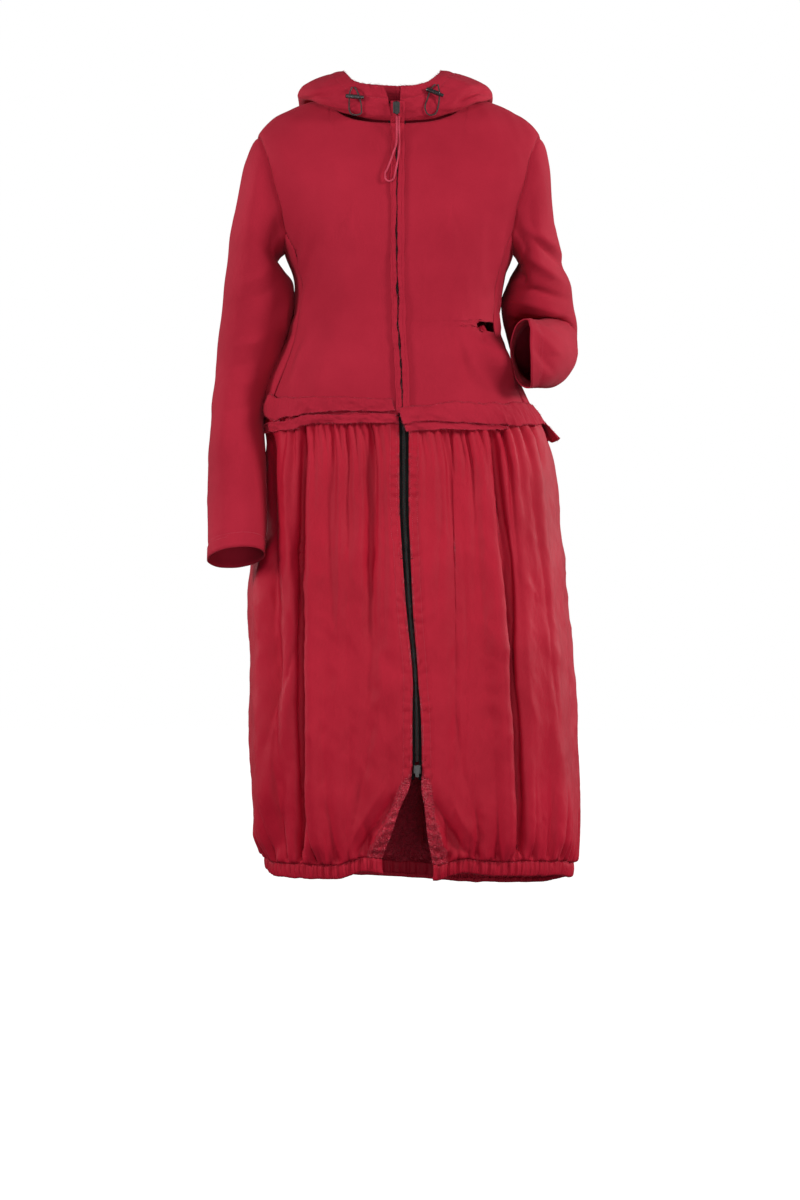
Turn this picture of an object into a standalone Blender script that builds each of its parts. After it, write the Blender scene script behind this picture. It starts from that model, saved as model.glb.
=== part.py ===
"""Hooded jacket dress: a jersey bodice with sleeves and a hood, over a balloon skirt with an elastic hem.

Metres, +Z up, front towards -Y, the wearer's left towards +X. The origin is at the base of the neck, level with
the inner ends of the shoulder seams, where the wearer holds the garment up.
"""

import bpy
import numpy as np
from mathutils import Matrix, Vector

JERSEY = 0.0018  # wall of the bodice, sleeves and hood
TAFFETA = 0.0012  # wall of the gathered skirt
STRIP = 0.0015  # wall of the raw-edged strips at the waist and the front
BAG = 0.0010  # wall of the pocket bags
SEAM = 0.0004  # space between two pieces at a seam
CHEST_Z = -0.217  # height of the underarm
WAIST = -0.229  # drop from the underarm to the waist seam
SQUARE = 0.045  # how far the body's sections are squared off, 0 for an ellipse

# Sections of the body. A level below 0 is in metres from the underarm, and a level from 0 to 1 is the share of
# the quarter turn over the shoulder. A seam or armhole lies at that share of the half width, front and back.
BODY_COLUMNS = ("level", "half_width", "front", "back", "centre_x", "centre_y", "front_seam", "back_seam")
BODY = np.array(
    [
        (-0.229, 0.1875, 0.145, 0.130, 0.0030, 0.004, 0.950, 0.90),
        (-0.200, 0.1770, 0.141, 0.125, -0.0025, 0.004, 0.950, 0.90),
        (-0.149, 0.1560, 0.134, 0.117, -0.0040, 0.004, 0.945, 0.90),
        (-0.107, 0.1440, 0.128, 0.112, -0.0045, 0.004, 0.935, 0.90),
        (-0.066, 0.1400, 0.125, 0.110, -0.0010, 0.004, 0.930, 0.89),
        (-0.033, 0.1460, 0.124, 0.110, 0.0000, 0.004, 0.915, 0.88),
        (0.000, 0.1570, 0.122, 0.110, 0.0000, 0.004, 0.905, 0.88),
        (0.080, 0.1660, 0.121, 0.111, 0.0000, 0.004, 0.930, 0.92),
        (0.210, 0.1830, 0.119, 0.113, 0.0000, 0.004, 0.886, 0.90),
        (0.370, 0.1960, 0.117, 0.112, 0.0000, 0.004, 0.883, 0.89),
        (0.670, 0.2060, 0.112, 0.107, 0.0000, 0.005, 0.905, 0.905),
        (1.000, 0.2110, 0.106, 0.100, 0.0000, 0.006, 0.925, 0.925),
    ]
)
ARMHOLE_LEVEL = 0.08  # level where the side seams run into the armhole

# Heights along the shoulder and along the front and back necklines, by distance from the middle.
SHOULDER = np.array(
    [
        (0.000, 0.020),
        (0.060, 0.009),
        (0.100, -0.004),
        (0.137, -0.016),
        (0.165, -0.030),
        (0.180, -0.041),
        (0.190, -0.053),
        (0.197, -0.067),
        (0.206, -0.088),
        (0.216, -0.112),
    ]
)
NECK_POINT = 0.098
FRONT_NECK = np.array(
    [(0.000, -0.0445), (0.030, -0.0435), (0.050, -0.0410), (0.072, -0.0345), (0.088, -0.0220), (0.096, -0.0090)]
)
BACK_NECK = np.array([(0.000, -0.0100), (0.045, -0.0080), (0.075, -0.0050), (0.096, -0.0040)])

# Middle of the front opening and half its width, by height. Below the zip the skirt is open.
OPENING = np.array(
    [
        (-1.080, 0.0115, 0.0385),
        (-1.068, 0.0112, 0.0374),
        (-1.014, 0.0144, 0.0241),
        (-0.980, 0.0180, 0.0168),
        (-0.944, 0.0228, 0.0072),
        (-0.925, 0.0246, 0.0066),
        (-0.862, 0.0240, 0.0060),
        (-0.799, 0.0220, 0.0036),
        (-0.711, 0.0145, 0.0045),
        (-0.642, 0.0104, 0.0055),
        (-0.560, 0.0069, 0.0062),
        (-0.470, 0.0069, 0.0064),
        (-0.436, 0.0045, 0.0058),
        (-0.400, 0.0035, 0.0058),
        (-0.324, -0.0010, 0.0058),
        (-0.228, -0.0028, 0.0058),
        (0.020, -0.0028, 0.0058),
    ]
)

SHOULDER_LEVEL = 0.997  # the shoulder seam stays this share of the turn up, so that front and back don't touch

# Sections of the skirt, by height.
SKIRT_COLUMNS = ("z", "half_width", "front", "back", "centre_x", "centre_y")
SKIRT = np.array(
    [
        (-1.100, 0.2050, 0.165, 0.160, 0.0275, 0.005),
        (-1.064, 0.2070, 0.168, 0.163, 0.0280, 0.005),
        (-1.040, 0.2130, 0.178, 0.172, 0.0275, 0.005),
        (-1.000, 0.2190, 0.188, 0.180, 0.0255, 0.005),
        (-0.955, 0.2220, 0.193, 0.184, 0.0220, 0.005),
        (-0.883, 0.2225, 0.195, 0.185, 0.0185, 0.005),
        (-0.780, 0.2180, 0.190, 0.180, 0.0160, 0.005),
        (-0.696, 0.2150, 0.182, 0.173, 0.0100, 0.004),
        (-0.640, 0.2075, 0.176, 0.167, 0.0140, 0.004),
        (-0.600, 0.2005, 0.170, 0.160, 0.0165, 0.004),
        (-0.520, 0.1970, 0.159, 0.147, 0.0155, 0.004),
        (-0.470, 0.1910, 0.148, 0.134, 0.0100, 0.004),
        (-0.446, 0.1875, 0.145, 0.130, 0.0030, 0.004),
    ]
)
SKIRT_TOP = -0.4465
CASING_TOP = -1.0530
CASING_HEIGHT = 0.0220

# How far the hem hangs below its level height, across the front and across the back.
FRONT_DROP = np.array(
    [(-0.185, 0.010), (-0.168, -0.001), (-0.088, -0.002), (-0.061, 0.005), (-0.048, 0.009), (-0.026, 0.006)]
    + [(0.050, -0.003), (0.072, 0.004), (0.091, 0.007), (0.121, 0.003), (0.220, 0.001), (0.235, -0.004)]
)
BACK_DROP = np.array(
    [(-0.185, 0.004), (-0.100, -0.006), (0.010, -0.012), (0.120, -0.019), (0.200, -0.017), (0.235, -0.006)]
)

# The largest folds. Each has its place across the garment at three heights, its width, and how far it stands
# out (or in, below 0) at those heights. Side 1 is the front and -1 the back.
FOLD_COLUMNS = ("side", "x_top", "x_middle", "x_low", "width", "top", "middle", "low")
FOLD_HEIGHTS = (-0.480, -0.760, -1.000)
FOLDS = np.array(
    [
        (1, -0.130, -0.130, -0.131, 0.0065, -0.016, -0.020, -0.020),
        (1, -0.119, -0.112, -0.110, 0.0140, 0.003, 0.009, 0.010),
        (1, -0.157, -0.146, -0.176, 0.0120, 0.002, 0.009, 0.006),
        (1, -0.170, -0.166, -0.160, 0.0090, -0.006, -0.010, -0.006),
        (1, -0.186, -0.184, -0.181, 0.0100, 0.000, 0.008, 0.008),
        (1, -0.085, -0.084, -0.086, 0.0160, 0.000, 0.003, 0.003),
        (1, -0.040, -0.037, -0.062, 0.0100, -0.007, -0.005, -0.002),
        (1, 0.018, 0.020, 0.050, 0.0080, -0.007, -0.003, -0.002),
        (1, 0.073, 0.078, 0.076, 0.0090, -0.009, -0.006, -0.003),
        (1, 0.129, 0.149, 0.163, 0.0075, -0.015, -0.022, -0.020),
        (1, 0.114, 0.133, 0.146, 0.0130, 0.004, 0.008, 0.008),
        (1, 0.150, 0.170, 0.182, 0.0110, 0.003, 0.008, 0.006),
        (1, 0.176, 0.204, 0.222, 0.0120, 0.004, 0.010, 0.008),
        (-1, -0.140, -0.148, -0.150, 0.0080, -0.015, -0.020, -0.019),
        (-1, -0.122, -0.126, -0.128, 0.0140, 0.003, 0.009, 0.010),
        (-1, -0.060, -0.066, -0.072, 0.0100, -0.011, -0.014, -0.010),
        (-1, -0.040, -0.042, -0.044, 0.0150, 0.003, 0.008, 0.006),
        (-1, 0.022, 0.030, 0.034, 0.0090, -0.012, -0.016, -0.012),
        (-1, 0.044, 0.054, 0.060, 0.0150, 0.003, 0.007, 0.006),
        (-1, 0.104, 0.122, 0.134, 0.0085, -0.014, -0.019, -0.018),
        (-1, 0.126, 0.148, 0.162, 0.0140, 0.003, 0.009, 0.009),
        (-1, 0.165, 0.190, 0.205, 0.0090, -0.008, -0.010, -0.008),
    ]
)
GATHERS = 22  # gathers at the waist, on the front and again on the back
GATHER_DEPTH = 0.0050
LOW_GATHERS = 26  # shorter folds above the elastic, on the front and again on the back
LOW_GATHER_DEPTH = 0.0038
SIDE_SEAM = np.radians(91)  # angle of the skirt's side seams from the middle of the front
SEAM_ANGLE = 0.0024  # the space at a side seam, as an angle
PANEL_EDGE_FLAT = 0.020  # the gathers fade out this near to the zip and to a side seam

RUFFLES = 56  # small waves along the hem on the front, and again on the back
RUFFLE_DEPTH = 0.0019
HEM_CENTRE = (0.0278, 0.005)

# Hood and collar. Each row is one section round the neck, from the middle of the front (0 degrees) to the
# middle of the back (180). A section is a curve from the neck seam past the under and outer layers to the rim.
HOOD_COLUMNS = (
    "angle", "under_x", "under_y", "under_z", "outer_x", "outer_y", "outer_z", "rim_x", "rim_y", "rim_z",
)
HOOD = np.array(
    [
        (0, 0.0060, -0.0805, -0.031, 0.0085, -0.0835, -0.012, 0.0115, -0.0800, 0.005),
        (25, 0.0370, -0.0780, -0.029, 0.0350, -0.0810, -0.012, 0.0300, -0.0760, 0.0075),
        (50, 0.0790, -0.0700, -0.027, 0.0730, -0.0710, -0.006, 0.0500, -0.0600, 0.014),
        (72, 0.1180, -0.0500, -0.026, 0.1200, -0.0460, 0.014, 0.0640, -0.0320, 0.028),
        (92, 0.1480, 0.0050, -0.024, 0.1520, 0.0120, 0.022, 0.0680, 0.0000, 0.032),
        (115, 0.1460, 0.0860, -0.050, 0.1560, 0.0980, 0.010, 0.0700, 0.0500, 0.028),
        (140, 0.1100, 0.1620, -0.165, 0.1220, 0.1950, -0.120, 0.0550, 0.0860, 0.024),
        (160, 0.0550, 0.1780, -0.222, 0.0630, 0.2220, -0.190, 0.0280, 0.1000, 0.022),
        (180, 0.0002, 0.1820, -0.240, 0.0002, 0.2300, -0.215, 0.0002, 0.1050, 0.021),
    ]
)
HOOD_SHIFT = -0.0095  # the rim sits this far towards the wearer's right
HOOD_REST = 0.0030  # space between the hood's under layer and the cloth that it lies on
NECK_CENTRE = (0.0, -0.008)
HOOD_ANGLES = (0, 12, 25, 38, 50, 61, 72, 82, 92, 103, 115, 128, 140, 152, 166, 180)
HOOD_ALONG = (0, 0.05, 0.11, 0.18, 0.27, 0.38, 0.49, 0.60, 0.73, 0.86, 1.0)  # from the neck seam to the rim
COLLAR_EDGE = 0.0060  # each half of the collar starts this far from the middle of the front

# Sections down each sleeve, x measured outwards: centre, half sizes across and front to back, the tilt of the
# section's outer end, its pitch as the arm swings forward, its turn inwards at the wrist (degrees), all by the
# share of the sleeve's length.
SLEEVE_COLUMNS = ("share", "x", "y", "z", "half_out", "half_front", "tilt", "pitch", "turn")
SLEEVE_RIGHT = np.array(
    [
        (0.00, 0.1780, 0.004, -0.1410, 0.0760, 0.074, 75, 0, 0),
        (0.05, 0.1845, 0.004, -0.1475, 0.0695, 0.074, 73, 0, 0),
        (0.10, 0.1920, 0.003, -0.1670, 0.0590, 0.072, 66, 0, 0),
        (0.18, 0.1945, 0.003, -0.2020, 0.0485, 0.070, 50, 0, 0),
        (0.28, 0.1908, 0.000, -0.2460, 0.0472, 0.067, 22, 0, 0),
        (0.38, 0.1945, -0.002, -0.2970, 0.0480, 0.063, 2, 0, 0),
        (0.47, 0.2045, -0.001, -0.3440, 0.0440, 0.058, -1, 4, 0),
        (0.56, 0.2170, -0.006, -0.3930, 0.0355, 0.053, -3, 9, 0),
        (0.65, 0.2255, -0.020, -0.4380, 0.0315, 0.049, -3, 14, 0),
        (0.76, 0.2255, -0.047, -0.4980, 0.0345, 0.047, -3, 17, 0),
        (0.87, 0.2240, -0.076, -0.5580, 0.0360, 0.046, -3, 17, 0),
        (0.94, 0.2235, -0.095, -0.6020, 0.0360, 0.045, -4, 17, 0),
        (1.00, 0.2230, -0.110, -0.6390, 0.0360, 0.045, -6, 17, 0),
    ]
)
SLEEVE_LEFT = np.array(
    [
        (0.00, 0.1780, 0.004, -0.1410, 0.0760, 0.074, 75, 0, 0),
        (0.05, 0.1835, 0.005, -0.1500, 0.0670, 0.074, 73, -2, 0),
        (0.10, 0.1885, 0.009, -0.1730, 0.0515, 0.071, 66, -5, 0),
        (0.18, 0.1895, 0.017, -0.2070, 0.0385, 0.068, 52, -11, 0),
        (0.28, 0.1885, 0.028, -0.2430, 0.0385, 0.065, 24, -17, 0),
        (0.38, 0.1900, 0.040, -0.2770, 0.0480, 0.061, 11, -19, 0),
        (0.47, 0.1955, 0.051, -0.3120, 0.0485, 0.057, 4, 8, 0),
        (0.56, 0.1998, 0.050, -0.3380, 0.0462, 0.055, 2, 40, 0),
        (0.65, 0.2030, 0.027, -0.3520, 0.0430, 0.049, 0, 68, 0),
        (0.75, 0.2010, -0.010, -0.3570, 0.0410, 0.046, 0, 84, 5),
        (0.84, 0.1945, -0.047, -0.3590, 0.0390, 0.0455, 0, 88, 13),
        (0.92, 0.1870, -0.084, -0.3600, 0.0360, 0.0455, 0, 88, 30),
        (1.00, 0.1745, -0.112, -0.3605, 0.0330, 0.0455, 0, 88, 52),
    ]
)
SLEEVE_SHARES = (0.0, 0.022, 0.05, 0.10, 0.18, 0.27, 0.37, 0.465, 0.56, 0.655, 0.755, 0.865, 1.0)
SLEEVE_BLEND = 0.20  # share of the sleeve over which the armhole's shape turns into the round one

# The pocket on the wearer's left stands open as the photograph shows it, and the other lies closed.
MOUTH_TOP = -0.0985  # levels of the ends of the pocket mouth
MOUTH_LOW = -0.1890
GAPE_OUT = 0.012  # how far the open mouth is pushed out sideways and forwards
GAPE_FORWARD = 0.048
MOUTH = np.array(
    [
        (MOUTH_LOW - 0.004, 0.945),
        (MOUTH_LOW, 0.930),
        (-0.160, 0.930),
        (-0.130, 0.930),
        (-0.1080, 0.915),
        (-0.1050, 0.800),
        (-0.1015, 0.765),
        (-0.0990, 0.930),
    ]
)

SIDE_SPOTS = np.array([0, 0.16, 0.38, 0.62, 0.84, 1.0])  # columns across a side panel
UNDERARM_RISE = ARMHOLE_LEVEL - 0.004  # the side panel's top rises this far towards its two seams
FRONT_SPOTS = (0.0055, 0.020, 0.038, 0.060, 0.078, 0.091, 0.0985, 0.115, 0.137, 0.158, 0.175, 0.188)
BACK_SPOTS = (0.028, 0.056, 0.080, 0.0985, 0.118, 0.140, 0.162, 0.182)  # columns outwards from the middle
EVEN_LEVEL = 0.37  # rows of points lie level up to here
SEAM_SHARE = 0.0035  # the space at a side seam, as a share of the half width
EDGE_LEVELS = (-0.229, -0.205, -0.189, -0.160, -0.1300, -0.1080, -0.1050, -0.1015, -0.0985, -0.066, -0.033)
BACK_LEVELS = (-0.229, -0.19, -0.149, -0.107, -0.066, -0.033, 0.0, 0.08, 0.21, 0.37, 0.56, 0.76, 0.90, 0.997)
UPPER_LEVELS = (0.0, 0.08, 0.21, 0.37, 0.56, 0.76, 0.90, 0.997)

SKIRT_HEIGHTS = (
    -1.0526, -1.033, -1.003, -0.950, -0.860, -0.755, -0.650, -0.570, -0.510, -0.480, -0.462, -0.4469,
)
FRONT_COLUMNS = 32  # columns of points across each half of the skirt's front, and across its back
BACK_COLUMNS = 47

# The front opening: distances from its middle, and how far each piece lies out of the cloth's inner surface.
ZIP_EDGE = 0.0058  # the bodice's front edges
TAPE = (0.0029, 0.0118)
TAPE_OUT = (-0.0026, -0.0016)
PLACKET_LEFT = (0.0003, 0.0105)
PLACKET_RIGHT = (0.0003, 0.0085)
PLACKET_OUT = (0.0024, 0.0037)
CHAIN_HALF = 0.0024
CHAIN_OUT = (-0.0022, 0.0008)
COLLAR_ROWS = (-0.030, -0.0145)  # rows of points above the neckline
ZIP_HEIGHTS = (-0.940, -0.915, -0.860, -0.755, -0.650, -0.570, -0.510, -0.480, -0.462, -0.4480)

COLLAR_OUT = -0.0052  # how far the collar stands in front of the neckline

SLIDER_TOP = (0.0092, 0.0030, 0.0165)  # the sliders' and pull tabs' widths, thicknesses and heights
SLIDER_BOTTOM = (0.0098, 0.0036, 0.0125)
SLIDER_TOP_Z = -0.0235
SLIDER_BOTTOM_Z = -0.9260
PULL_WIDE = 0.0044
PULL_THICK = 0.0012
PULL_TOP_LONG = 0.0130
PULL_BOTTOM_LONG = 0.0125
PULL_GAP = 0.0005
PHOTO_SCALE = 0.00138  # metres for one unit of the picture, and the places of the garment's axis and neck on it
PHOTO_AXIS = 399
PHOTO_NECK = 95
ROPE_WIDE = 0.0028
# The rope loop: places across and down in the picture's units from the garment's axis, and how far in front.
ROPE = (
    [(396.6, 120.5, 0.0032), (396.8, 132, 0.0032), (396.6, 146, 0.0030), (392.6, 160, 0.0016)]
    + [(388.0, 173, 0.0004), (385.0, 180.5, 0.0), (386.6, 185.6, 0.0), (391.0, 186.6, 0.0), (394.6, 181, 0.0)]
    + [(396.8, 170, 0.0), (398.8, 158, 0.0), (399.2, 146, 0.0), (399.0, 132, 0.0), (398.8, 120.5, 0.0)]
)

LOCK_WIDE = 0.0062
LOCK_LONG = 0.0250
LOCK_BUTTON = 0.0065  # length of the button at its end
HOLE_WIDE = 0.0036  # the two holes that the cord runs through
CORD_WIDE = 0.0020
# Cord locks: side, middle of the barrel, its tilt in degrees, and the loop's route in the picture's units.
LOCKS = (
    (
        "right", (355.0, 101.3), -4.5,
        [(352.6, 91.0), (350.6, 96), (349.8, 101.3), (349.6, 107), (349.4, 113), (352.4, 118.2)]
        + [(357.2, 119.2), (361.8, 116.4), (361.6, 110), (359.6, 101.3), (357.6, 96), (355.0, 91.0)],
    ),
    (
        "left", (434.6, 96.8), -22.0,
        [(435.2, 88.2), (432.0, 91.6), (430.0, 95.0), (427.0, 104), (424.8, 111), (426.6, 117.4)]
        + [(431.2, 119.4), (436.0, 116.6), (438.2, 109), (439.2, 98.8), (438.6, 93.6), (437.6, 88.2)],
    ),
)

RED_JERSEY = ((0.36, 0.016, 0.035), 0.85)
RED_TAFFETA = ((0.38, 0.014, 0.030), 0.60)
RED_ROPE = ((0.40, 0.020, 0.045), 0.75)
BLACK_TAPE = ((0.012, 0.012, 0.012), 0.80)
BLACK_METAL = ((0.03, 0.03, 0.03), 0.35, 0.8)
BLACK_PLASTIC = ((0.02, 0.02, 0.02), 0.30)
DARK_CORD = ((0.06, 0.045, 0.045), 0.80)


def smooth(at, stations, values):
    """A curve through the values of a table, which never swings past them between two rows."""
    s = np.asarray(stations, float)
    v = np.asarray(values, float)
    rise = np.diff(v) / np.diff(s)
    slope = np.concatenate([[rise[0]], np.zeros(len(s) - 2), [rise[-1]]])
    same = rise[:-1] * rise[1:] > 0
    with np.errstate(divide="ignore", invalid="ignore"):
        mean = 2 * rise[:-1] * rise[1:] / (rise[:-1] + rise[1:])
    slope[1:-1] = np.where(same, mean, 0)
    at = np.clip(at, s[0], s[-1])
    i = np.clip(np.searchsorted(s, at, side="right") - 1, 0, len(s) - 2)
    h = s[i + 1] - s[i]
    t = (at - s[i]) / h
    a = (2 * t**3 - 3 * t**2 + 1) * v[i] + (3 * t**2 - 2 * t**3) * v[i + 1]
    return a + h * ((t**3 - 2 * t**2 + t) * slope[i] + (t**3 - t**2) * slope[i + 1])


def column(table, names, name, at):
    return smooth(at, table[:, 0], table[:, names.index(name)])


def body(name, level):
    return column(BODY, BODY_COLUMNS, name, level)


def front_line(z):
    return smooth(z, OPENING[:, 0], OPENING[:, 1])


def half_opening(z):
    return smooth(z, OPENING[:, 0], OPENING[:, 2])


def step(t):
    """0 below 0, 1 above 1, and a smooth rise between."""
    t = np.clip(t, 0, 1)
    return t * t * (3 - 2 * t)


def across(angle):
    """Share of the half width at an angle from the middle of the front."""
    return (np.sin(angle) + SQUARE * np.sin(3 * angle)) / (1 - SQUARE)


def forward(angle):
    """Share of the depth at that angle, 1 at the middle of the front and -1 at the middle of the back."""
    return (np.cos(angle) - SQUARE * np.cos(3 * angle)) / (1 - SQUARE)


ANGLES = np.linspace(0, np.pi / 2, 400)


def angle_at(share):
    """The angle from the middle whose share of the half width this is."""
    return np.sign(share) * np.interp(np.abs(share), across(ANGLES), ANGLES)


def torso(angle, level):
    """Inner surface of the bodice: squared ellipses up to the underarm, then a quarter turn over each shoulder."""
    turn = np.clip(level, 0, None) * np.pi / 2
    x = body("centre_x", level) + body("half_width", level) * across(angle)
    top = smooth(np.abs(x), SHOULDER[:, 0], SHOULDER[:, 1])
    z = CHEST_Z + np.minimum(level, 0) + (top - CHEST_Z) * np.sin(turn)
    facing = forward(angle)
    depth = np.where(facing > 0, body("front", level), body("back", level))
    y = body("centre_y", level) - depth * facing * np.cos(turn)
    return np.stack([x, y, z], axis=-1)


def neck_level(x, table):
    """Level of the top edge of the bodice at x: the neckline, then the shoulder."""
    away = np.abs(x)
    top = smooth(away, SHOULDER[:, 0], SHOULDER[:, 1])
    line = smooth(away, table[:, 0], table[:, 1])
    level = np.arcsin(np.clip((line - CHEST_Z) / (top - CHEST_Z), 0, 1)) * 2 / np.pi
    return np.where(away >= NECK_POINT, SHOULDER_LEVEL, np.minimum(level, SHOULDER_LEVEL))


def flatness(x, z):
    """0 along the front opening and 1 away from it, where the cloth is free to fold."""
    return step((np.abs(x - front_line(z)) - half_opening(z) - 0.004) / PANEL_EDGE_FLAT)


def hem_drop(x, facing, z):
    """How far a point near the hem is moved down or up, so that the hem hangs unevenly."""
    ahead = smooth(x, FRONT_DROP[:, 0], FRONT_DROP[:, 1])
    behind = smooth(x, BACK_DROP[:, 0], BACK_DROP[:, 1])
    back_share = step(0.5 - 1.2 * facing)
    return (ahead + (behind - ahead) * back_share) * step((-0.960 - z) / (-0.960 - CASING_TOP))


def gathers(angle, z):
    """Folds that run down from the waist seam and fade, uneven in place and length."""
    turn = angle * GATHERS / np.pi
    turn = turn + 0.33 * np.sin(3.1 * angle + 0.6) + 0.21 * np.sin(7.7 * angle + 1.9)
    length = 0.085 + 0.045 * np.sin(5.3 * angle + 0.4)
    below = SKIRT_TOP - z
    grow = step(below / 0.030)
    fade = np.exp(-np.clip(below - 0.03, 0, None) / length)
    return GATHER_DEPTH * grow * fade * (np.cos(2 * np.pi * turn) - 1 + 0.65 * step(below / 0.045))


def low_gathers(angle, z):
    """Shorter folds that the elastic draws up into the cloth above the hem."""
    turn = angle * LOW_GATHERS / np.pi + 0.4 * np.sin(4.3 * angle + 1.1)
    above = z - CASING_TOP
    grow = step(above / 0.012)
    fade = np.exp(-np.clip(above - 0.012, 0, None) / (0.030 + 0.012 * np.sin(6.1 * angle)))
    return LOW_GATHER_DEPTH * grow * fade * (np.cos(2 * np.pi * turn) - 0.2)


def skirt(angle, z):
    """Inner surface of the skirt: squared ellipses, moved in and out by the folds and gathers."""

    def size(name):
        return column(SKIRT, SKIRT_COLUMNS, name, z)

    facing = forward(angle)
    x = size("centre_x") + size("half_width") * across(angle)
    depth = np.where(facing > 0, size("front"), size("back"))
    out = np.zeros_like(x)
    free = step((SKIRT_TOP - 0.004 - z) / 0.030) * step((z - CASING_TOP) / 0.030)
    for side, x_top, x_middle, x_low, width, top, middle, low in FOLDS:
        place = smooth(-z, [-FOLD_HEIGHTS[0], -FOLD_HEIGHTS[1], -FOLD_HEIGHTS[2]], [x_top, x_middle, x_low])
        height = smooth(-z, [-FOLD_HEIGHTS[0], -FOLD_HEIGHTS[1], -FOLD_HEIGHTS[2]], [top, middle, low])
        on_side = step(0.5 + 6 * side * facing)
        out = out + on_side * height * np.exp(-(((x - place) / width) ** 2))
    out = out * free + gathers(angle, z) + low_gathers(angle, z)
    out = out * np.where(facing > 0, flatness(x, z), 1)
    y = size("centre_y") - depth * facing
    away = np.stack([across(angle) / size("half_width"), -facing / depth], axis=-1)
    away = away / np.linalg.norm(away, axis=-1, keepdims=True)
    z = z + hem_drop(x, facing, z)
    return np.stack([x + out * away[..., 0], y + out * away[..., 1], z + 0 * x], axis=-1)


def casing(angle, down):
    """Inner surface of the casing, down from the skirt's lowest section, waved by the elastic inside it."""
    base = skirt(angle, np.full_like(down, CASING_TOP))
    away = base[..., :2] - np.array(HEM_CENTRE)
    away = away / np.linalg.norm(away, axis=-1, keepdims=True)
    wave = RUFFLE_DEPTH * (np.cos(2 * np.pi * ruffle_turn(angle)) - 1) * step((down + 0.0005) / 0.004)
    tuck = -0.004 * down / CASING_HEIGHT
    flat = base[..., :2] + away * (wave + tuck)[..., None]
    return np.concatenate([flat, (base[..., 2] - down)[..., None]], axis=-1)


def ruffle_turn(angle):
    return angle * RUFFLES / np.pi + 0.25 * np.sin(9 * angle)


def neck_line():
    """The seam of the hood on the wearer's left, just off the bodice's neckline: its angles and its points."""
    spots = np.linspace(0.0, NECK_POINT, 60)
    rows = []
    for table, behind in ((FRONT_NECK, False), (BACK_NECK, True)):
        level = np.minimum(neck_level(spots, table), SHOULDER_LEVEL - 0.012)
        angle = angle_at(spots / body("half_width", level))
        angle = np.pi - angle if behind else angle
        out = normals(torso, angle, level)
        out = out * np.sign(out[:, 2:] + 1e-9 - 2.0 * out[:, 1:2] * (1 if not behind else -1))
        rise = torso(angle, level + 2e-3) - torso(angle, level - 2e-3)
        rise = rise / np.linalg.norm(rise, axis=1, keepdims=True)
        rows.append(torso(angle, level) + (JERSEY + 0.0019) * out + 0.0012 * rise)
    line = np.concatenate([rows[0], rows[1][::-1]])
    turned = np.degrees(np.arctan2(line[:, 0] - NECK_CENTRE[0], NECK_CENTRE[1] - line[:, 1]))
    order = np.argsort(turned)
    return turned[order], line[order]


def body_samples():
    """Points over the bodice with their outward directions, for other pieces to rest on."""
    u, v = np.meshgrid(np.linspace(-np.pi, np.pi, 181), np.linspace(-0.10, 0.985, 90))
    out = normals(torso, u, v)
    from_middle = torso(u, v) - np.array([0, 0, -0.3])
    out = out * np.where(np.sum(out * from_middle, axis=-1, keepdims=True) > 0, 1, -1)
    return torso(u, v).reshape(-1, 3), out.reshape(-1, 3)


def rested(points, ground, ground_out, clearance):
    """Points moved out where they lie nearer to the ground than the clearance."""
    flat = points.reshape(-1, 3).copy()
    for k, point in enumerate(flat):
        near = np.argmin(np.sum((ground - point) ** 2, axis=1))
        height = np.dot(point - ground[near], ground_out[near])
        if abs(height) < 0.06 and height < clearance:
            flat[k] = point + (clearance - height) * ground_out[near]
    return flat.reshape(points.shape)


def hood(side):
    """Inner surface of one half of the hood, side -1 for the wearer's right and 1 for the left."""
    turned, line = neck_line()

    def surface(angle, along):
        def point(part):
            x, y, z = (column(HOOD, HOOD_COLUMNS, part + end, angle) for end in ("_x", "_y", "_z"))
            shift = {"under": 0.5, "outer": 0.6, "rim": 1}[part] * HOOD_SHIFT
            shift = shift * step((180 - angle) / 60)
            return np.stack([side * x + shift, y, z], axis=-1)

        seam = np.stack([np.interp(angle, turned, line[:, k]) for k in range(3)], axis=-1)
        least = (COLLAR_EDGE - SEAM) * step((40 - angle) / 30) + SEAM
        seam[..., 0] = side * np.maximum(seam[..., 0], least) + OPENING[-1, 1] * step((40 - angle) / 30)
        t = along[..., None]
        ends = (1 - t) ** 3 * seam + t**3 * point("rim")
        return ends + 3 * (1 - t) ** 2 * t * point("under") + 3 * (1 - t) * t**2 * point("outer")

    return surface


def seam_share(side, level):
    """Share of the half width of the front's side edge, with the notch where the open pocket's mouth starts."""
    share = body("front_seam", level)
    if side > 0:
        inside = (level > MOUTH[0, 0]) & (level < MOUTH[-1, 0])
        share = np.where(inside, np.interp(level, MOUTH[:, 0], MOUTH[:, 1]), share)
    return share


def gape(angle, level):
    """How far the open pocket's mouth is pushed out from the body, 0 to 1."""
    middle = 0.5 * (MOUTH_TOP + MOUTH_LOW) - 0.004
    reach = 0.5 * (MOUTH_TOP - MOUTH_LOW) + 0.012
    height = np.cos(np.clip((level - middle) / reach, -1, 1) * np.pi / 2) ** 2
    return height * step((across(angle) - 0.55) / 0.42) ** 1.3


def front(side):
    """Inner surface of one half of the front, side -1 for the wearer's right and 1 for the left."""

    def surface(angle, level):
        point = torso(angle, level)
        if side > 0:
            push = gape(angle, level)[..., None]
            point = point + push * np.array([GAPE_OUT, -GAPE_FORWARD, 0])
        return point

    return surface


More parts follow.
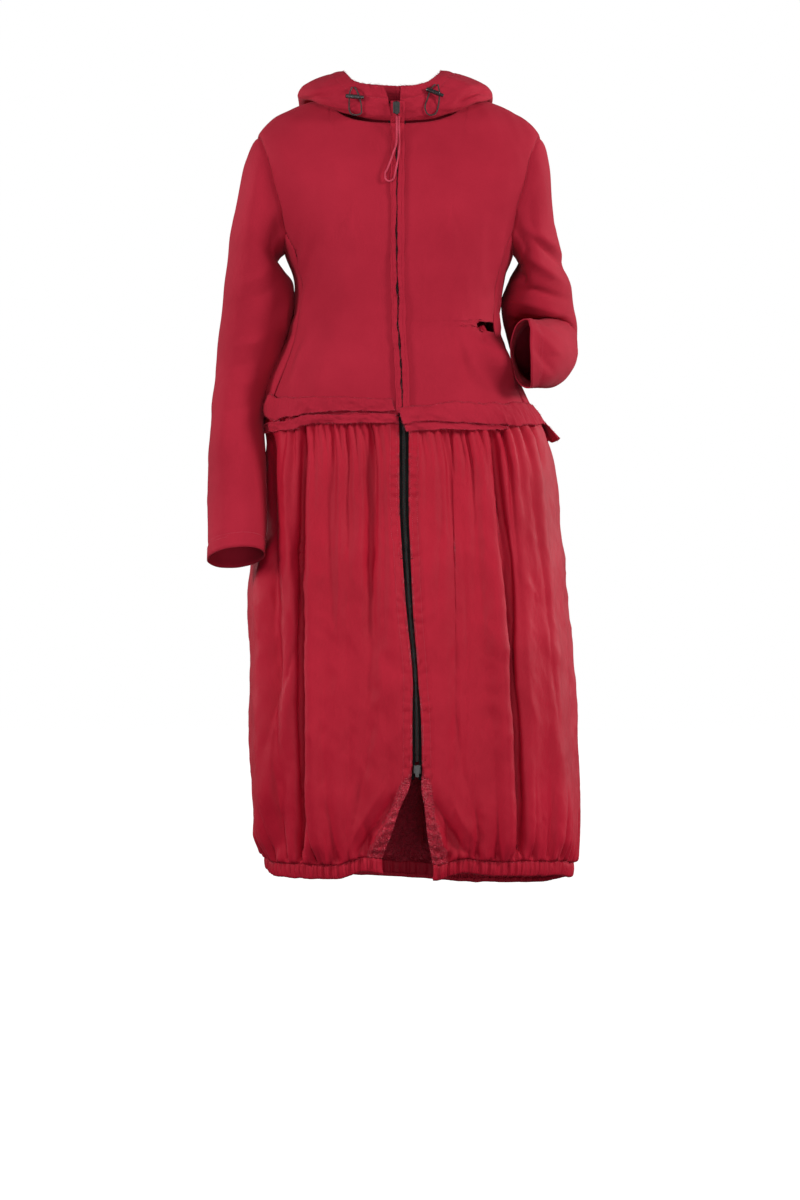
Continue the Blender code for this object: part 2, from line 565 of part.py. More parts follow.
def armhole(side):
    """Closed line round an armhole through the edge points of the pieces there, down the front, under the arm
    and up the back, with its outward directions and each point's share of the way round."""
    down = np.array(UPPER_LEVELS[1:])[::-1]
    front_angle = angle_at(body("front_seam", down))
    back_angle = np.pi - angle_at(body("back_seam", down))
    under = SIDE_SPOTS[1:-1]
    under_level = UNDERARM_RISE * (2 * under - 1) ** 2
    first = angle_at(straight_between("front_seam", under_level, EDGE_LEVELS + UPPER_LEVELS[:2]))
    last = np.pi - angle_at(straight_between("back_seam", under_level, BACK_LEVELS))
    angle = np.concatenate([front_angle, first + (last - first) * under, back_angle[:0:-1]])
    level = np.concatenate([down, under_level, down[:0:-1]])
    line = torso(side * angle, level)
    out = normals(torso, side * angle, level)
    steps = np.linalg.norm(np.diff(np.concatenate([line, line[:1]]), axis=0), axis=1)
    share = np.concatenate([[0], np.cumsum(steps)])[:-1] / steps.sum()
    return line, out, share


def normals(surface, u, v, span=(1e-3, 1e-3)):
    """Direction square to a surface of two parameters, from its slopes each way."""
    du = surface(u + span[0], v) - surface(u - span[0], v)
    dv = surface(u, v + span[1]) - surface(u, v - span[1])
    n = np.cross(du, dv)
    return n / np.maximum(np.linalg.norm(n, axis=-1, keepdims=True), 1e-12)


def sleeve(side, table):
    """Inner surface of a sleeve: the armhole's line, then round sections along the arm."""
    ring, _, ring_share = armhole(side)
    ends = np.concatenate([ring, ring[:1]])
    at = np.concatenate([ring_share, [1.0]])

    def surface(turn, share):
        def size(name):
            return column(table, SLEEVE_COLUMNS, name, share)

        tilt, pitch, yaw = (np.radians(size(name)) for name in ("tilt", "pitch", "turn"))
        centre = np.stack([side * size("x"), size("y"), size("z")], axis=-1)
        out = np.stack([np.cos(tilt), np.zeros_like(tilt), np.sin(tilt)], axis=-1)
        ahead = np.stack([np.zeros_like(pitch), -np.cos(pitch), np.sin(pitch)], axis=-1)

        def turned(v):
            x = v[..., 0] * np.cos(yaw) + v[..., 1] * np.sin(yaw)
            y = -v[..., 0] * np.sin(yaw) + v[..., 1] * np.cos(yaw)
            return np.stack([side * x, y, v[..., 2]], axis=-1)

        angle = 2 * np.pi * turn
        round_part = turned(out) * (size("half_out") * np.cos(angle))[..., None]
        round_part = round_part + turned(ahead) * (size("half_front") * np.sin(angle))[..., None]
        wrapped = np.mod(turn, 1)
        start = np.stack([np.interp(wrapped, at, ends[:, k]) for k in range(3)], axis=-1)
        first = np.array([side * table[0, 1], table[0, 2], table[0, 3]])
        weight = step(share / SLEEVE_BLEND)[..., None]
        return centre + (1 - weight) * (start - first) + weight * round_part

    return surface


def clear_scene():
    for thing in list(bpy.data.objects):
        bpy.data.objects.remove(thing, do_unlink=True)


def new_collection(name, hidden=False):
    made = bpy.data.collections.new(name)
    made.hide_render = hidden
    bpy.context.scene.collection.children.link(made)
    return made


def material(name, colour, roughness, metallic=0.0):
    made = bpy.data.materials.new(name)
    made.use_nodes = True
    shader = made.node_tree.nodes["Principled BSDF"]
    shader.inputs["Base Color"].default_value = (*colour, 1)
    shader.inputs["Roughness"].default_value = roughness
    shader.inputs["Metallic"].default_value = metallic
    made.diffuse_color = (*colour, 1)
    return made


def add_mesh(name, points, faces, look, target):
    """A mesh object whose faces look outwards, each name its own material."""
    points = np.asarray(points, float)
    mesh = bpy.data.meshes.new(name)
    volume = 0.0
    for face in faces:
        corners = points[list(face)]
        for k in range(1, len(face) - 1):
            volume += np.dot(corners[0], np.cross(corners[k], corners[k + 1]))
    if volume < 0:
        faces = [tuple(reversed(face)) for face in faces]
    mesh.from_pydata([tuple(p) for p in points], [], [tuple(int(i) for i in face) for face in faces])
    mesh.update()
    thing = bpy.data.objects.new(name, mesh)
    thing.data.materials.append(material(name + "_finish", *look))
    target.objects.link(thing)
    return thing


def wall(name, inner, outer, look, target, around=False):
    """Closed wall between two grids of points, rows by columns. Around joins the last column to the first."""
    rows, columns = inner.shape[:2]
    points = np.concatenate([inner.reshape(-1, 3), outer.reshape(-1, 3)])

    def spot(row, col, layer):
        return layer * rows * columns + row * columns + col % columns

    faces = []
    last = columns if around else columns - 1
    for row in range(rows - 1):
        for col in range(last):
            for ring in ((0, 0, 0, 1, 1, 1), (0, 0, 1, 1, 1, 0)):
                corners = [(row + ring[k], col + ring[k + 1]) for k in (0, 2, 4)]
                faces.append([spot(r, c, 1) for r, c in corners])
                faces.append([spot(r, c, 0) for r, c in reversed(corners)])
    for row, flip in ((0, 1), (rows - 1, -1)):
        for col in range(last):
            strip = [spot(row, col, 0), spot(row, col + 1, 0), spot(row, col + 1, 1), spot(row, col, 1)]
            faces.append(strip[::flip])
    if not around:
        for col, flip in ((0, -1), (columns - 1, 1)):
            for row in range(rows - 1):
                strip = [spot(row, col, 0), spot(row + 1, col, 0), spot(row + 1, col, 1), spot(row, col, 1)]
                faces.append(strip[::flip])
    return add_mesh(name, points, faces, look, target)


def cloth(name, surface, u, v, thick, look, target, lift=0.0, outward=1, around=False, spans=(1e-3, 1e-3)):
    """Wall of even thickness on a surface, lifted off it. Outward is the sign that turns its normals out."""
    base = surface(u, v)
    away = outward * normals(surface, u, v, spans)
    return wall(name, base + lift * away, base + (lift + thick) * away, look, target, around)


def facing_out(surface, u, v):
    """Sign that turns a body surface's normals away from its middle."""
    point = surface(np.array([u]), np.array([v]))[0]
    n = normals(surface, np.array([u]), np.array([v]))[0]
    return 1 if n[0] * point[0] + n[1] * point[1] > 0 else -1


def column_levels(levels, top):
    """Levels of one column's rows: even up to EVEN_LEVEL, then drawn together below the top edge."""
    share = (levels - EVEN_LEVEL) / (SHOULDER_LEVEL - EVEN_LEVEL)
    return np.where(levels <= EVEN_LEVEL, levels, EVEN_LEVEL + share * (top - EVEN_LEVEL))


def front_grid(side, half_gap):
    """Angles and levels over one half of the front, from its zip edge to its side seam and armhole."""
    edge_levels = np.array(EDGE_LEVELS + UPPER_LEVELS)
    tip = float(body("half_width", SHOULDER_LEVEL) * body("front_seam", SHOULDER_LEVEL))
    spots = np.array(FRONT_SPOTS + (tip,))
    share_across = (spots - spots[0]) / (tip - spots[0])
    top = neck_level(spots, FRONT_NECK)
    level = column_levels(edge_levels[:, None], top[None, :])
    z = torso(np.zeros_like(level), np.minimum(level, 0.6))[..., 2]
    start = (front_line(z) - body("centre_x", level)) * side + half_gap
    start = start / body("half_width", level)
    end = seam_share(side, edge_levels)[:, None]
    seam_gap = SEAM_SHARE * (edge_levels <= ARMHOLE_LEVEL)[:, None]
    share = start + (end - seam_gap - start) * share_across[None, :]
    return side * angle_at(share), level


def straight_between(name, level, rows):
    """A seam's place at a level, in straight runs between the rows of the piece that it joins."""
    return np.interp(level, rows, body(name, np.array(rows)))


def side_grid(side):
    """Angles and levels over one side panel, from its front seam to its back seam."""
    across_panel = SIDE_SPOTS[None, :]
    rise = np.array([0, 0.12, 0.24, 0.36, 0.48, 0.58, 0.68, 0.80, 0.90, 1.0])[:, None]
    top = UNDERARM_RISE * (2 * across_panel - 1) ** 2
    level = WAIST + (0 - WAIST) * rise + top * step((rise - 0.7) / 0.3)
    first = angle_at(straight_between("front_seam", level, EDGE_LEVELS + UPPER_LEVELS[:2]))
    last = np.pi - angle_at(straight_between("back_seam", level, BACK_LEVELS))
    return side * (first + (last - first) * across_panel), level


def back_grid():
    """Angles and levels over the whole back, from one side seam and armhole to the other."""
    edge_levels = np.array(BACK_LEVELS)
    tip = float(body("half_width", SHOULDER_LEVEL) * body("back_seam", SHOULDER_LEVEL))
    half = np.array(BACK_SPOTS + (tip,))
    spots = np.concatenate([-half[::-1], [0], half])
    top = neck_level(spots, BACK_NECK)
    level = column_levels(edge_levels[:, None], top[None, :])
    seam_gap = SEAM_SHARE * (edge_levels <= ARMHOLE_LEVEL)[:, None]
    share = (body("back_seam", edge_levels)[:, None] - seam_gap) * (spots / tip)[None, :]
    return np.pi - angle_at(share), level


def tube(name, route, diameter, look, target, sides=2):
    """A cord on a poly spline with filled ends."""
    curve = bpy.data.curves.new(name, "CURVE")
    curve.dimensions = "3D"
    curve.bevel_depth = diameter / 2
    curve.bevel_resolution = sides
    curve.use_fill_caps = True
    spline = curve.splines.new("POLY")
    spline.points.add(len(route) - 1)
    for spot, point in zip(spline.points, route):
        spot.co = (*point, 1)
    thing = bpy.data.objects.new(name, curve)
    thing.data.materials.append(material(name + "_finish", *look))
    target.objects.link(thing)
    return thing


def even_route(corners, spacing):
    """Points an even distance apart on a smooth curve through the corners."""
    corners = np.asarray(corners, float)
    steps = np.concatenate([[0], np.cumsum(np.linalg.norm(np.diff(corners, axis=0), axis=1))])
    fine = np.linspace(0, steps[-1], 600)
    line = np.stack([smooth(fine, steps, corners[:, k]) for k in range(3)], axis=-1)
    length = np.concatenate([[0], np.cumsum(np.linalg.norm(np.diff(line, axis=0), axis=1))])
    at = np.linspace(0, length[-1], max(8, int(round(length[-1] / spacing)) + 1))
    return np.stack([np.interp(at, length, line[:, k]) for k in range(3)], axis=-1)


def moved_to(thing, name, look, target):
    """A new primitive renamed, given its own material, and put in its collection."""
    thing.name = name
    thing.data.name = name
    thing.data.materials.append(material(name + "_finish", *look))
    for old in list(thing.users_collection):
        old.objects.unlink(thing)
    target.objects.link(thing)
    return thing


def block(name, size, centre, origin, look, target, bevel=0.0):
    """A box with its edges rounded off. Its origin is where it turns, or its middle."""
    bpy.ops.mesh.primitive_cube_add(size=1)
    thing = moved_to(bpy.context.active_object, name, look, target)
    shift = Vector(np.subtract(centre, origin))
    thing.data.transform(Matrix.Translation(shift) @ Matrix.Diagonal((*size, 1)))
    thing.location = origin
    if bevel:
        rounding = thing.modifiers.new("rounding", "BEVEL")
        rounding.width = bevel
        rounding.segments = 1
    return thing


def pull_tab(name, pin, long, target):
    """The flat tab of a slider, hanging from a pin near its top. Its origin is on the pin's axis."""
    centre = (pin[0], pin[1], pin[2] + PULL_THICK / 2 - long / 2)
    return block(name, (PULL_WIDE, PULL_THICK, long), centre, pin, BLACK_METAL, target)


def build_bodice(target):
    for side, word in ((-1, "right"), (1, "left")):
        surface = front(side)
        outward = facing_out(surface, side * 0.5, -0.1)
        u, v = front_grid(side, ZIP_EDGE)
        cloth("bodice_front_" + word, surface, u, v, JERSEY, RED_JERSEY, target, 0, outward)
        outward = facing_out(torso, side * 1.5, -0.1)
        u, v = side_grid(side)
        cloth("bodice_side_" + word, torso, u, v, JERSEY, RED_JERSEY, target, 0, outward)
    u, v = back_grid()
    cloth("bodice_back", torso, u, v, JERSEY, RED_JERSEY, target, 0, facing_out(torso, 3.0, -0.1))


def build_sleeve(side, table, name, target):
    surface = sleeve(side, table)
    ring, ring_out, turns = armhole(side)
    u, v = np.meshgrid(turns, np.array(SLEEVE_SHARES))
    base = surface(u, v)
    away = normals(surface, u, np.clip(v, 2e-3, 1 - 2e-3), (5e-3, 1e-3))
    if np.sum(away[5] * (base[5] - base[5].mean(axis=0))) < 0:
        away = -away
    inside = np.array([0, 0, -0.2])
    away[0] = ring_out * np.sign(np.sum(ring_out * (ring - inside), axis=1, keepdims=True))
    push = base[1] - base[0]
    base[0] = base[0] + SEAM * push / np.linalg.norm(push, axis=-1, keepdims=True)
    wall(name, base, base + JERSEY * away, RED_JERSEY, target, around=True)


def build_hood(target):
    ground, ground_out = body_samples()
    for side, word in ((-1, "right"), (1, "left")):
        surface = hood(side)
        u, v = np.meshgrid(np.array(HOOD_ANGLES, float), np.array(HOOD_ALONG))
        away = side * normals(surface, u, v, (0.5, 5e-3))
        base = surface(u, v)
        base[1:] = rested(base[1:], ground, ground_out, JERSEY + HOOD_REST)
        inner = base - JERSEY * away
        for layer in (inner, base):
            layer[:, -1, 0] = side * SEAM / 2
        wall("hood_" + word, inner, base, RED_JERSEY, target)


def front_point(offset, z, collar_out=0.0):
    """Inner surface of the garment beside the front opening, at a distance from its middle. Over the collar it
    runs straight up from the neckline, or further out."""
    x = front_line(z) + offset
    neck = FRONT_NECK[0, 1]
    level = np.where(z < CHEST_Z, z - CHEST_Z, 0)
    rise = np.clip((np.minimum(z, neck) - CHEST_Z) / (SHOULDER[0, 1] - CHEST_Z), 0, 1)
    level = np.where(z < CHEST_Z, level, np.arcsin(rise) * 2 / np.pi)
    y_body = torso(angle_at((x - body("centre_x", level)) / body("half_width", level)), level)[..., 1]
    centre = column(SKIRT, SKIRT_COLUMNS, "centre_x", z)
    width = column(SKIRT, SKIRT_COLUMNS, "half_width", z)
    y_skirt = skirt(angle_at((x - centre) / width), z)[..., 1]
    collar = np.interp(z, [neck, neck + 0.012, 0.005], [0, 1, 1]) * collar_out
    y = np.where(z > SKIRT_TOP, y_body + collar, y_skirt)
    return np.stack([x, y, z], axis=-1)


def opening_strip(name, first, last, heights, near, far, look, target, collar_out=0.0):
    """Strip beside the front opening, between two distances from its middle, and from near to far off it."""
    heights = np.asarray(heights, float)
    u, v = np.meshgrid([first, last], heights)
    base = front_point(u, v, collar_out)
    slope = (front_point(u, v + 1e-3, collar_out) - front_point(u, v - 1e-3, collar_out))[..., 1:]
    away = np.stack([np.zeros_like(u), -slope[..., 1], slope[..., 0]], axis=-1)
    away = away / np.linalg.norm(away, axis=-1, keepdims=True)
    return wall(name, base + near * away, base + far * away, look, target)


def front_rows():
    """Heights of the bodice's rows of points at the front opening, lowest first."""
    levels = np.array(EDGE_LEVELS + UPPER_LEVELS)
    levels = column_levels(levels, neck_level(np.array(0.0055), FRONT_NECK))
    return list(torso(np.zeros_like(levels), levels)[:, 2])


def build_zip(target):
    """The zip's two tapes and its row of teeth, and the raw-edged strips that cover them on the bodice."""
    below = list(ZIP_HEIGHTS)
    above = front_rows()[1:] + list(COLLAR_ROWS)
    waist_row = 0.0025
    for side, word, placket in ((-1, "right", PLACKET_RIGHT), (1, "left", PLACKET_LEFT)):
        ends = sorted(side * edge for edge in TAPE)
        rows = below + [SKIRT_TOP + waist_row - 0.0005] + above
        opening_strip("zip_tape_" + word, *ends, rows, *TAPE_OUT, BLACK_TAPE, target)
        ends = sorted(side * edge for edge in placket)
        rows = [SKIRT_TOP + waist_row] + above
        opening_strip("placket_" + word, *ends, rows, *PLACKET_OUT, RED_JERSEY, target, COLLAR_OUT)
    rows = below[1:] + [SKIRT_TOP + waist_row - 0.0005] + above[:-1]
    opening_strip("zip_chain", -CHAIN_HALF, CHAIN_HALF, rows, *CHAIN_OUT, BLACK_PLASTIC, target)


def build_sliders(target):
    """The two zip sliders, their pull tabs and the rope loop on the upper one."""
    x = OPENING[-1, 1]
    face = float(front_point(np.array(0.0), np.array(-0.030))[1]) + COLLAR_OUT - 0.0042
    middle = (x - 0.0008, face - SLIDER_TOP[1] / 2, SLIDER_TOP_Z)
    block("zip_slider_top", SLIDER_TOP, middle, middle, BLACK_METAL, target, 0.0010)
    tab_y = face - SLIDER_TOP[1] - PULL_GAP - PULL_THICK / 2
    pin_z = SLIDER_TOP_Z + 0.0035 - PULL_THICK / 2
    pull = pull_tab("zip_pull_top", (x - 0.0002, tab_y, pin_z), PULL_TOP_LONG, target)
    units = [(px - PHOTO_AXIS, PHOTO_NECK - pz, front) for px, pz, front in ROPE]
    route = np.array(units) * (PHOTO_SCALE, PHOTO_SCALE, 1)
    cloth_y = front_point(route[:, 0] - x, np.clip(route[:, 1], None, FRONT_NECK[0, 1]))[:, 1]
    behind = np.minimum(cloth_y - 0.0037, tab_y + 0.0012) - ROPE_WIDE / 2 - 0.0008
    route = np.stack([route[:, 0], behind - route[:, 2], route[:, 1]], axis=1)
    rope = tube("zip_pull_cord", even_route(route, 0.0072), ROPE_WIDE, RED_ROPE, target, 2)
    rope.parent = pull
    rope.matrix_parent_inverse = Matrix.Translation(pull.location).inverted()
    low = SLIDER_BOTTOM_Z
    x = float(front_line(low))
    y = float(front_point(np.array(0.0), np.array(low))[1]) - 0.0002
    middle = (x, y - SLIDER_BOTTOM[1] / 2, low)
    block("zip_slider_bottom", SLIDER_BOTTOM, middle, middle, BLACK_METAL, target, 0.0010)
    tab_y = y - SLIDER_BOTTOM[1] - PULL_GAP - PULL_THICK / 2
    pin_z = low - 0.0040 + PULL_BOTTOM_LONG / 2 - PULL_THICK / 2
    pull_tab("zip_pull_bottom", (x, tab_y, pin_z), PULL_BOTTOM_LONG, target)


def waist(angle, z):
    """Inner surface at the waist without the gathers, for the strips that lie over its seam."""

    def size(name):
        return column(SKIRT, SKIRT_COLUMNS, name, z)

    bodice = torso(angle, np.clip(z - CHEST_Z, WAIST, 0))
    facing = forward(angle)
    depth = np.where(facing > 0, size("front"), size("back"))
    x = size("centre_x") + size("half_width") * across(angle)
    hem = np.stack([x, size("centre_y") - depth * facing, z], axis=-1)
    return np.where((z > SKIRT_TOP)[..., None], bodice, hem)


def waist_strip(name, angles, rows, target, wave=0.0, waves=0):
    """A strip round the waist. Each row is one edge or fold of it: the angles from the middle of the front, the
    heights there, and how far the row stands off the cloth."""
    angles = np.radians(np.asarray(angles, float))
    grid = []
    for stations, heights, lifts in rows:
        at = np.degrees(np.abs(angles))
        z = smooth(at, stations, heights)
        lift = smooth(at, stations, lifts)
        if waves:
            share = (at - at.min()) / (at.max() - at.min())
            lift = lift + wave * np.cos(2 * np.pi * waves * share) * len(grid) / (len(rows) - 1)
        grid.append((z, lift))
    z = np.array([row[0] for row in grid])
    lift = np.array([row[1] for row in grid])
    u = np.repeat(angles[None, :], len(rows), axis=0)
    base = waist(u, z)
    facing = forward(u)
    flat = np.stack([across(u) / 0.19, -facing / np.where(facing > 0, 0.146, 0.131), np.zeros_like(u)], axis=-1)
    away = flat / np.linalg.norm(flat, axis=-1, keepdims=True)
    wall(name, base + lift[..., None] * away, base + (lift + STRIP)[..., None] * away, RED_JERSEY, target)


def build_waist(target):
    """The raw-edged strips sewn over the waist seam, with the frill at the wearer's left."""
    fine = -np.array([2.1, 9, 16, 24, 32, 40, 48, 54, 58, 62, 66, 70, 74])
    stations = [0, 20, 50, 58, 66, 74]
    low_edge = [-0.4412, -0.4405, -0.4475, -0.4520, -0.4470, -0.4420]
    middle = [-0.4330, -0.4320, -0.4330, -0.4350, -0.4320, -0.4300]
    top_edge = [-0.4245, -0.4220, -0.4200, -0.4215, -0.4150, -0.4165]
    upper = [
        (stations, low_edge, [0.0032, 0.0032, 0.0040, 0.0046, 0.0060, 0.0052]),
        (stations, middle, [0.0034, 0.0034, 0.0036, 0.0040, 0.0085, 0.0064]),
        (stations, top_edge, [0.0031, 0.0031, 0.0031, 0.0036, 0.0060, 0.0048]),
    ]
    waist_strip("waist_strip_upper_right", fine, upper, target)
    lower = [
        ([0, 25, 50, 90], [-0.4580, -0.4560, -0.4640, -0.4706], [0.0034, 0.0034, 0.0040, 0.0046]),
        ([0, 25, 50, 90], [-0.4500, -0.4490, -0.4560, -0.4650], [0.0036, 0.0036, 0.0040, 0.0046]),
        ([0, 25, 50, 90], [-0.4444, -0.4440, -0.4510, -0.4600], [0.0031, 0.0031, 0.0036, 0.0042]),
    ]
    angles = -np.array([2.1, 9, 16, 24, 32, 40, 48, 56, 63, 70, 77, 83])
    waist_strip("waist_strip_lower_right", angles, lower, target)
    lower = [
        ([0, 20, 40], [-0.4650, -0.4650, -0.4630], [0.0034, 0.0034, 0.0036]),
        ([0, 20, 40], [-0.4470, -0.4500, -0.4600], [0.0030, 0.0030, 0.0032]),
    ]
    waist_strip("waist_strip_lower_left", [3.5, 8, 14, 21, 28, 35, 40], lower, target)
    upper = [
        ([9, 40, 60, 76], [-0.4548, -0.4587, -0.4570, -0.4545], [0.0060, 0.0058, 0.0050, 0.0060]),
        ([9, 40, 60, 76], [-0.4450, -0.4440, -0.4420, -0.4420], [0.0056, 0.0056, 0.0052, 0.0062]),
        ([9, 20, 32, 60, 76], [-0.4347, -0.4278, -0.4300, -0.4266, -0.4290], [0.0034, 0.0033, 0.004, 0.0033, 0.004]),
    ]
    waist_strip("waist_strip_upper_left", [8.4, 15, 22, 29, 36, 43, 49, 55, 61, 67, 72, 77], upper, target)
    frill = [
        ([78, 125], [-0.4420, -0.4440], [0.0028, 0.0028]),
        ([78, 125], [-0.4560, -0.4560], [0.0066, 0.0060]),
        ([78, 100, 125], [-0.4740, -0.4760, -0.4660], [0.0110, 0.0120, 0.0070]),
    ]
    waist_strip("waist_frill", np.linspace(78, 124, 15), frill, target, 0.0035, 3.5)
    behind = [
        ([125, 268], [-0.4560, -0.4560], [0.0042, 0.0042]),
        ([125, 268], [-0.4320, -0.4320], [0.0038, 0.0038]),
    ]
    waist_strip("waist_strip_back", np.linspace(125.5, 268, 20), behind, target)


def turned_rod(name, profile, centre, axis, look, target, sides=12):
    """A turned solid from its profile: (distance along the axis, radius), from the far end to the near one."""
    mesh = bpy.data.meshes.new(name)
    points = [(radius, 0.0, distance) for distance, radius in profile]
    mesh.from_pydata(points, [(k, k + 1) for k in range(len(points) - 1)], [])
    thing = bpy.data.objects.new(name, mesh)
    thing.data.materials.append(material(name + "_finish", *look))
    target.objects.link(thing)
    thing.location = centre
    thing.rotation_euler = Vector(axis).to_track_quat("Z", "Y").to_euler()
    turning = thing.modifiers.new("turning", "SCREW")
    turning.axis = "Z"
    turning.steps = sides
    turning.render_steps = sides
    turning.use_merge_vertices = True
    turning.merge_threshold = 0.00001
    return thing


def front_face(x, z, samples):
    """y of the foremost cloth near a place seen from the front."""
    near = np.hypot(samples[:, 0] - x, samples[:, 2] - z) < 0.005
    return samples[near, 1].min() if near.any() else 0.0


def build_locks(target, cutters):
    """The two cord locks on the collar, each with the cord that runs through it in a loop."""
    samples = [body_samples()[0] - (0, JERSEY, 0)]
    for side in (-1, 1):
        u, v = np.meshgrid(np.linspace(0, 90, 91), np.linspace(0, 1, 60))
        samples.append(hood(side)(u, v).reshape(-1, 3))
    samples = np.concatenate(samples)
    for word, (px, pz), tilt, loop in LOCKS:
        x = (px - PHOTO_AXIS) * PHOTO_SCALE
        z = (PHOTO_NECK - pz) * PHOTO_SCALE
        axis = np.array([np.cos(np.radians(tilt)), 0, np.sin(np.radians(tilt))])
        spots = [front_face(x + d * axis[0], z + d * axis[2], samples) for d in (-0.011, 0, 0.011)]
        y = min(spots) - LOCK_WIDE / 2 - 0.0008
        r = LOCK_WIDE / 2
        half = LOCK_LONG / 2
        button = half - LOCK_BUTTON
        profile = [(half, 0.0), (half, r * 0.8), (button + 0.0005, r * 0.8), (button, r)]
        profile += [(-half + 0.0015, r), (-half, r * 0.7), (-half, 0.0)]
        barrel = turned_rod("cord_lock_" + word, profile, (x, y, z), axis, BLACK_PLASTIC, target)
        flat = np.array([(a - PHOTO_AXIS, PHOTO_NECK - b) for a, b in loop]) * PHOTO_SCALE
        reach = np.abs(flat[:, 1] - z)
        line = []
        for (cx, cz), gap in zip(flat, reach):
            face = front_face(cx, cz, samples) - CORD_WIDE / 2 - 0.0008
            weight = float(step((gap - 0.004) / 0.010))
            line.append((cx, y + (face - y) * weight, cz))
        for end in (0, -1):
            cx, _, cz = line[end]
            beside = np.argsort(np.hypot(samples[:, 0] - cx, samples[:, 2] - cz))[:6]
            line[end] = (cx, samples[beside, 1].min() - 0.0007, cz)
        tube("cord_loop_" + word, even_route(line, 0.0050), CORD_WIDE, DARK_CORD, target, 2)
        for number, spot in enumerate((2, 9)):
            bpy.ops.mesh.primitive_cylinder_add(vertices=10, radius=HOLE_WIDE / 2, depth=0.014)
            hole = moved_to(bpy.context.active_object, "hole_" + word + str(number), BLACK_PLASTIC, cutters)
            hole.location = line[spot]
            along = Vector(np.subtract(line[spot + 1], line[spot - 1]))
            hole.rotation_euler = along.to_track_quat("Z", "Y").to_euler()
            hole.display_type = "WIRE"
            hole.hide_render = True
            cut = barrel.modifiers.new("hole", "BOOLEAN")
            cut.operation = "DIFFERENCE"
            cut.object = hole
            cut.solver = "EXACT"


def build_bags(target):
    """Pocket bags behind the fronts: cups that open at the side seam. The wearer's left one stands open."""
    closed_depth = (0.0022, 0.0030, 0.0032, 0.0028)
    open_depth = (0.0065, 0.0080, 0.0060, 0.0030)
    for side, word, depth in ((-1, "right", closed_depth), (1, "left", open_depth)):
        table = list(zip((0.905, 0.80, 0.60, 0.40), (0.036, 0.043, 0.052, 0.046), depth))
        turn = np.arange(14) * 2 * np.pi / 14
        layers = []
        for shrink in (0.0, BAG):
            rings = []
            for share, half_height, half_depth in table:
                inward = 0.004 * shrink / BAG if share < 0.5 else 0.0
                level = -0.152 - 0.030 * (0.905 - share) + (half_height - shrink) * np.sin(turn)
                angle = np.full_like(turn, side * float(angle_at(share + inward)))
                into = (-0.0054 if side > 0 else -0.0013) - half_depth + (half_depth - shrink) * np.cos(turn)
                out = facing_out(torso, side * 0.9, -0.15) * normals(torso, angle, level)
                push = np.zeros_like(turn)
                if side > 0:
                    push = gape(angle, level) * np.clip(np.cos(turn), 0, 1)
                pushed = push[:, None] * np.array([GAPE_OUT, -GAPE_FORWARD, 0])
                rings.append(torso(angle, level) + into[:, None] * out + pushed)
            layers.append(np.array(rings))
        cup("pocket_bag_" + word, layers[0], layers[1], RED_TAFFETA, target)


def cup(name, outer, inner, look, target):
    """Wall between two sets of rings, open at the first ring and closed at the last."""
    rows, columns = outer.shape[:2]
    total = rows * columns
    faces = []
    for row in range(rows - 1):
        for col in range(columns):
            after = (col + 1) % columns
            spots = ((row, col), (row, after), (row + 1, after), (row + 1, col))
            for ring in (spots[:3], (spots[0], spots[2], spots[3])):
                faces.append([r * columns + c for r, c in ring])
                faces.append([total + r * columns + c for r, c in reversed(ring)])
    for col in range(columns):
        after = (col + 1) % columns
        faces.append([after, col, total + col, total + after])
    last = (rows - 1) * columns
    faces.append([last + k for k in range(columns)])
    faces.append([total + last + k for k in reversed(range(columns))])
    add_mesh(name, np.concatenate([outer.reshape(-1, 3), inner.reshape(-1, 3)]), faces, look, target)


def build_skirt(target):
    """The skirt's two front panels and its back, each with its length of the elastic casing."""
    heights = np.array(SKIRT_HEIGHTS)
    for side, word in ((-1, "right"), (1, "left")):
        middle = column(SKIRT, SKIRT_COLUMNS, "centre_x", heights)
        width = column(SKIRT, SKIRT_COLUMNS, "half_width", heights)
        start = (side * (front_line(heights) - middle) + half_opening(heights)) / width
        first = np.sign(start) * angle_at(np.abs(start))
        across_panel = np.linspace(0, 1, FRONT_COLUMNS)[None, :]
        u = side * (first[:, None] + (SIDE_SEAM - SEAM_ANGLE - first[:, None]) * across_panel)
        v = np.repeat(heights[:, None], u.shape[1], axis=1)
        outward = facing_out(skirt, side * 0.6, -0.7)
        cloth("skirt_front_" + word, skirt, u, v, TAFFETA, RED_TAFFETA, target, 0, outward)
        low = np.interp(CASING_TOP, heights, start)
        first_turn = ruffle_turn(np.sign(low) * angle_at(abs(low)))
        build_casing("hem_casing_front_" + word, side, first_turn, ruffle_turn(SIDE_SEAM - SEAM_ANGLE), target)
    u, v = np.meshgrid(np.linspace(SIDE_SEAM, 2 * np.pi - SIDE_SEAM, BACK_COLUMNS), heights)
    cloth("skirt_back", skirt, u, v, TAFFETA, RED_TAFFETA, target, 0, facing_out(skirt, 3.0, -0.7))
    build_casing("hem_casing_back", 1, ruffle_turn(SIDE_SEAM), ruffle_turn(2 * np.pi - SIDE_SEAM), target)


def build_casing(name, side, first, last, target):
    """One length of the casing, with a column at each crest and trough of its waves."""
    fine = np.linspace(-0.5, 2 * np.pi, 4000)
    crests = np.arange(np.ceil(first * 2 + 0.4), np.floor(last * 2 - 0.4) + 1) / 2
    turns = np.concatenate([[first], crests, [last]])
    angles = np.interp(turns, ruffle_turn(fine), fine)
    u, v = np.meshgrid(side * angles, np.array([0.0008, CASING_HEIGHT]))
    base = casing(u, v)
    away = base[..., :2] - np.array(HEM_CENTRE)
    away = away / np.linalg.norm(away, axis=-1, keepdims=True)
    outer = base.copy()
    outer[..., :2] += 0.0014 * away
    wall(name, base, outer, RED_TAFFETA, target)


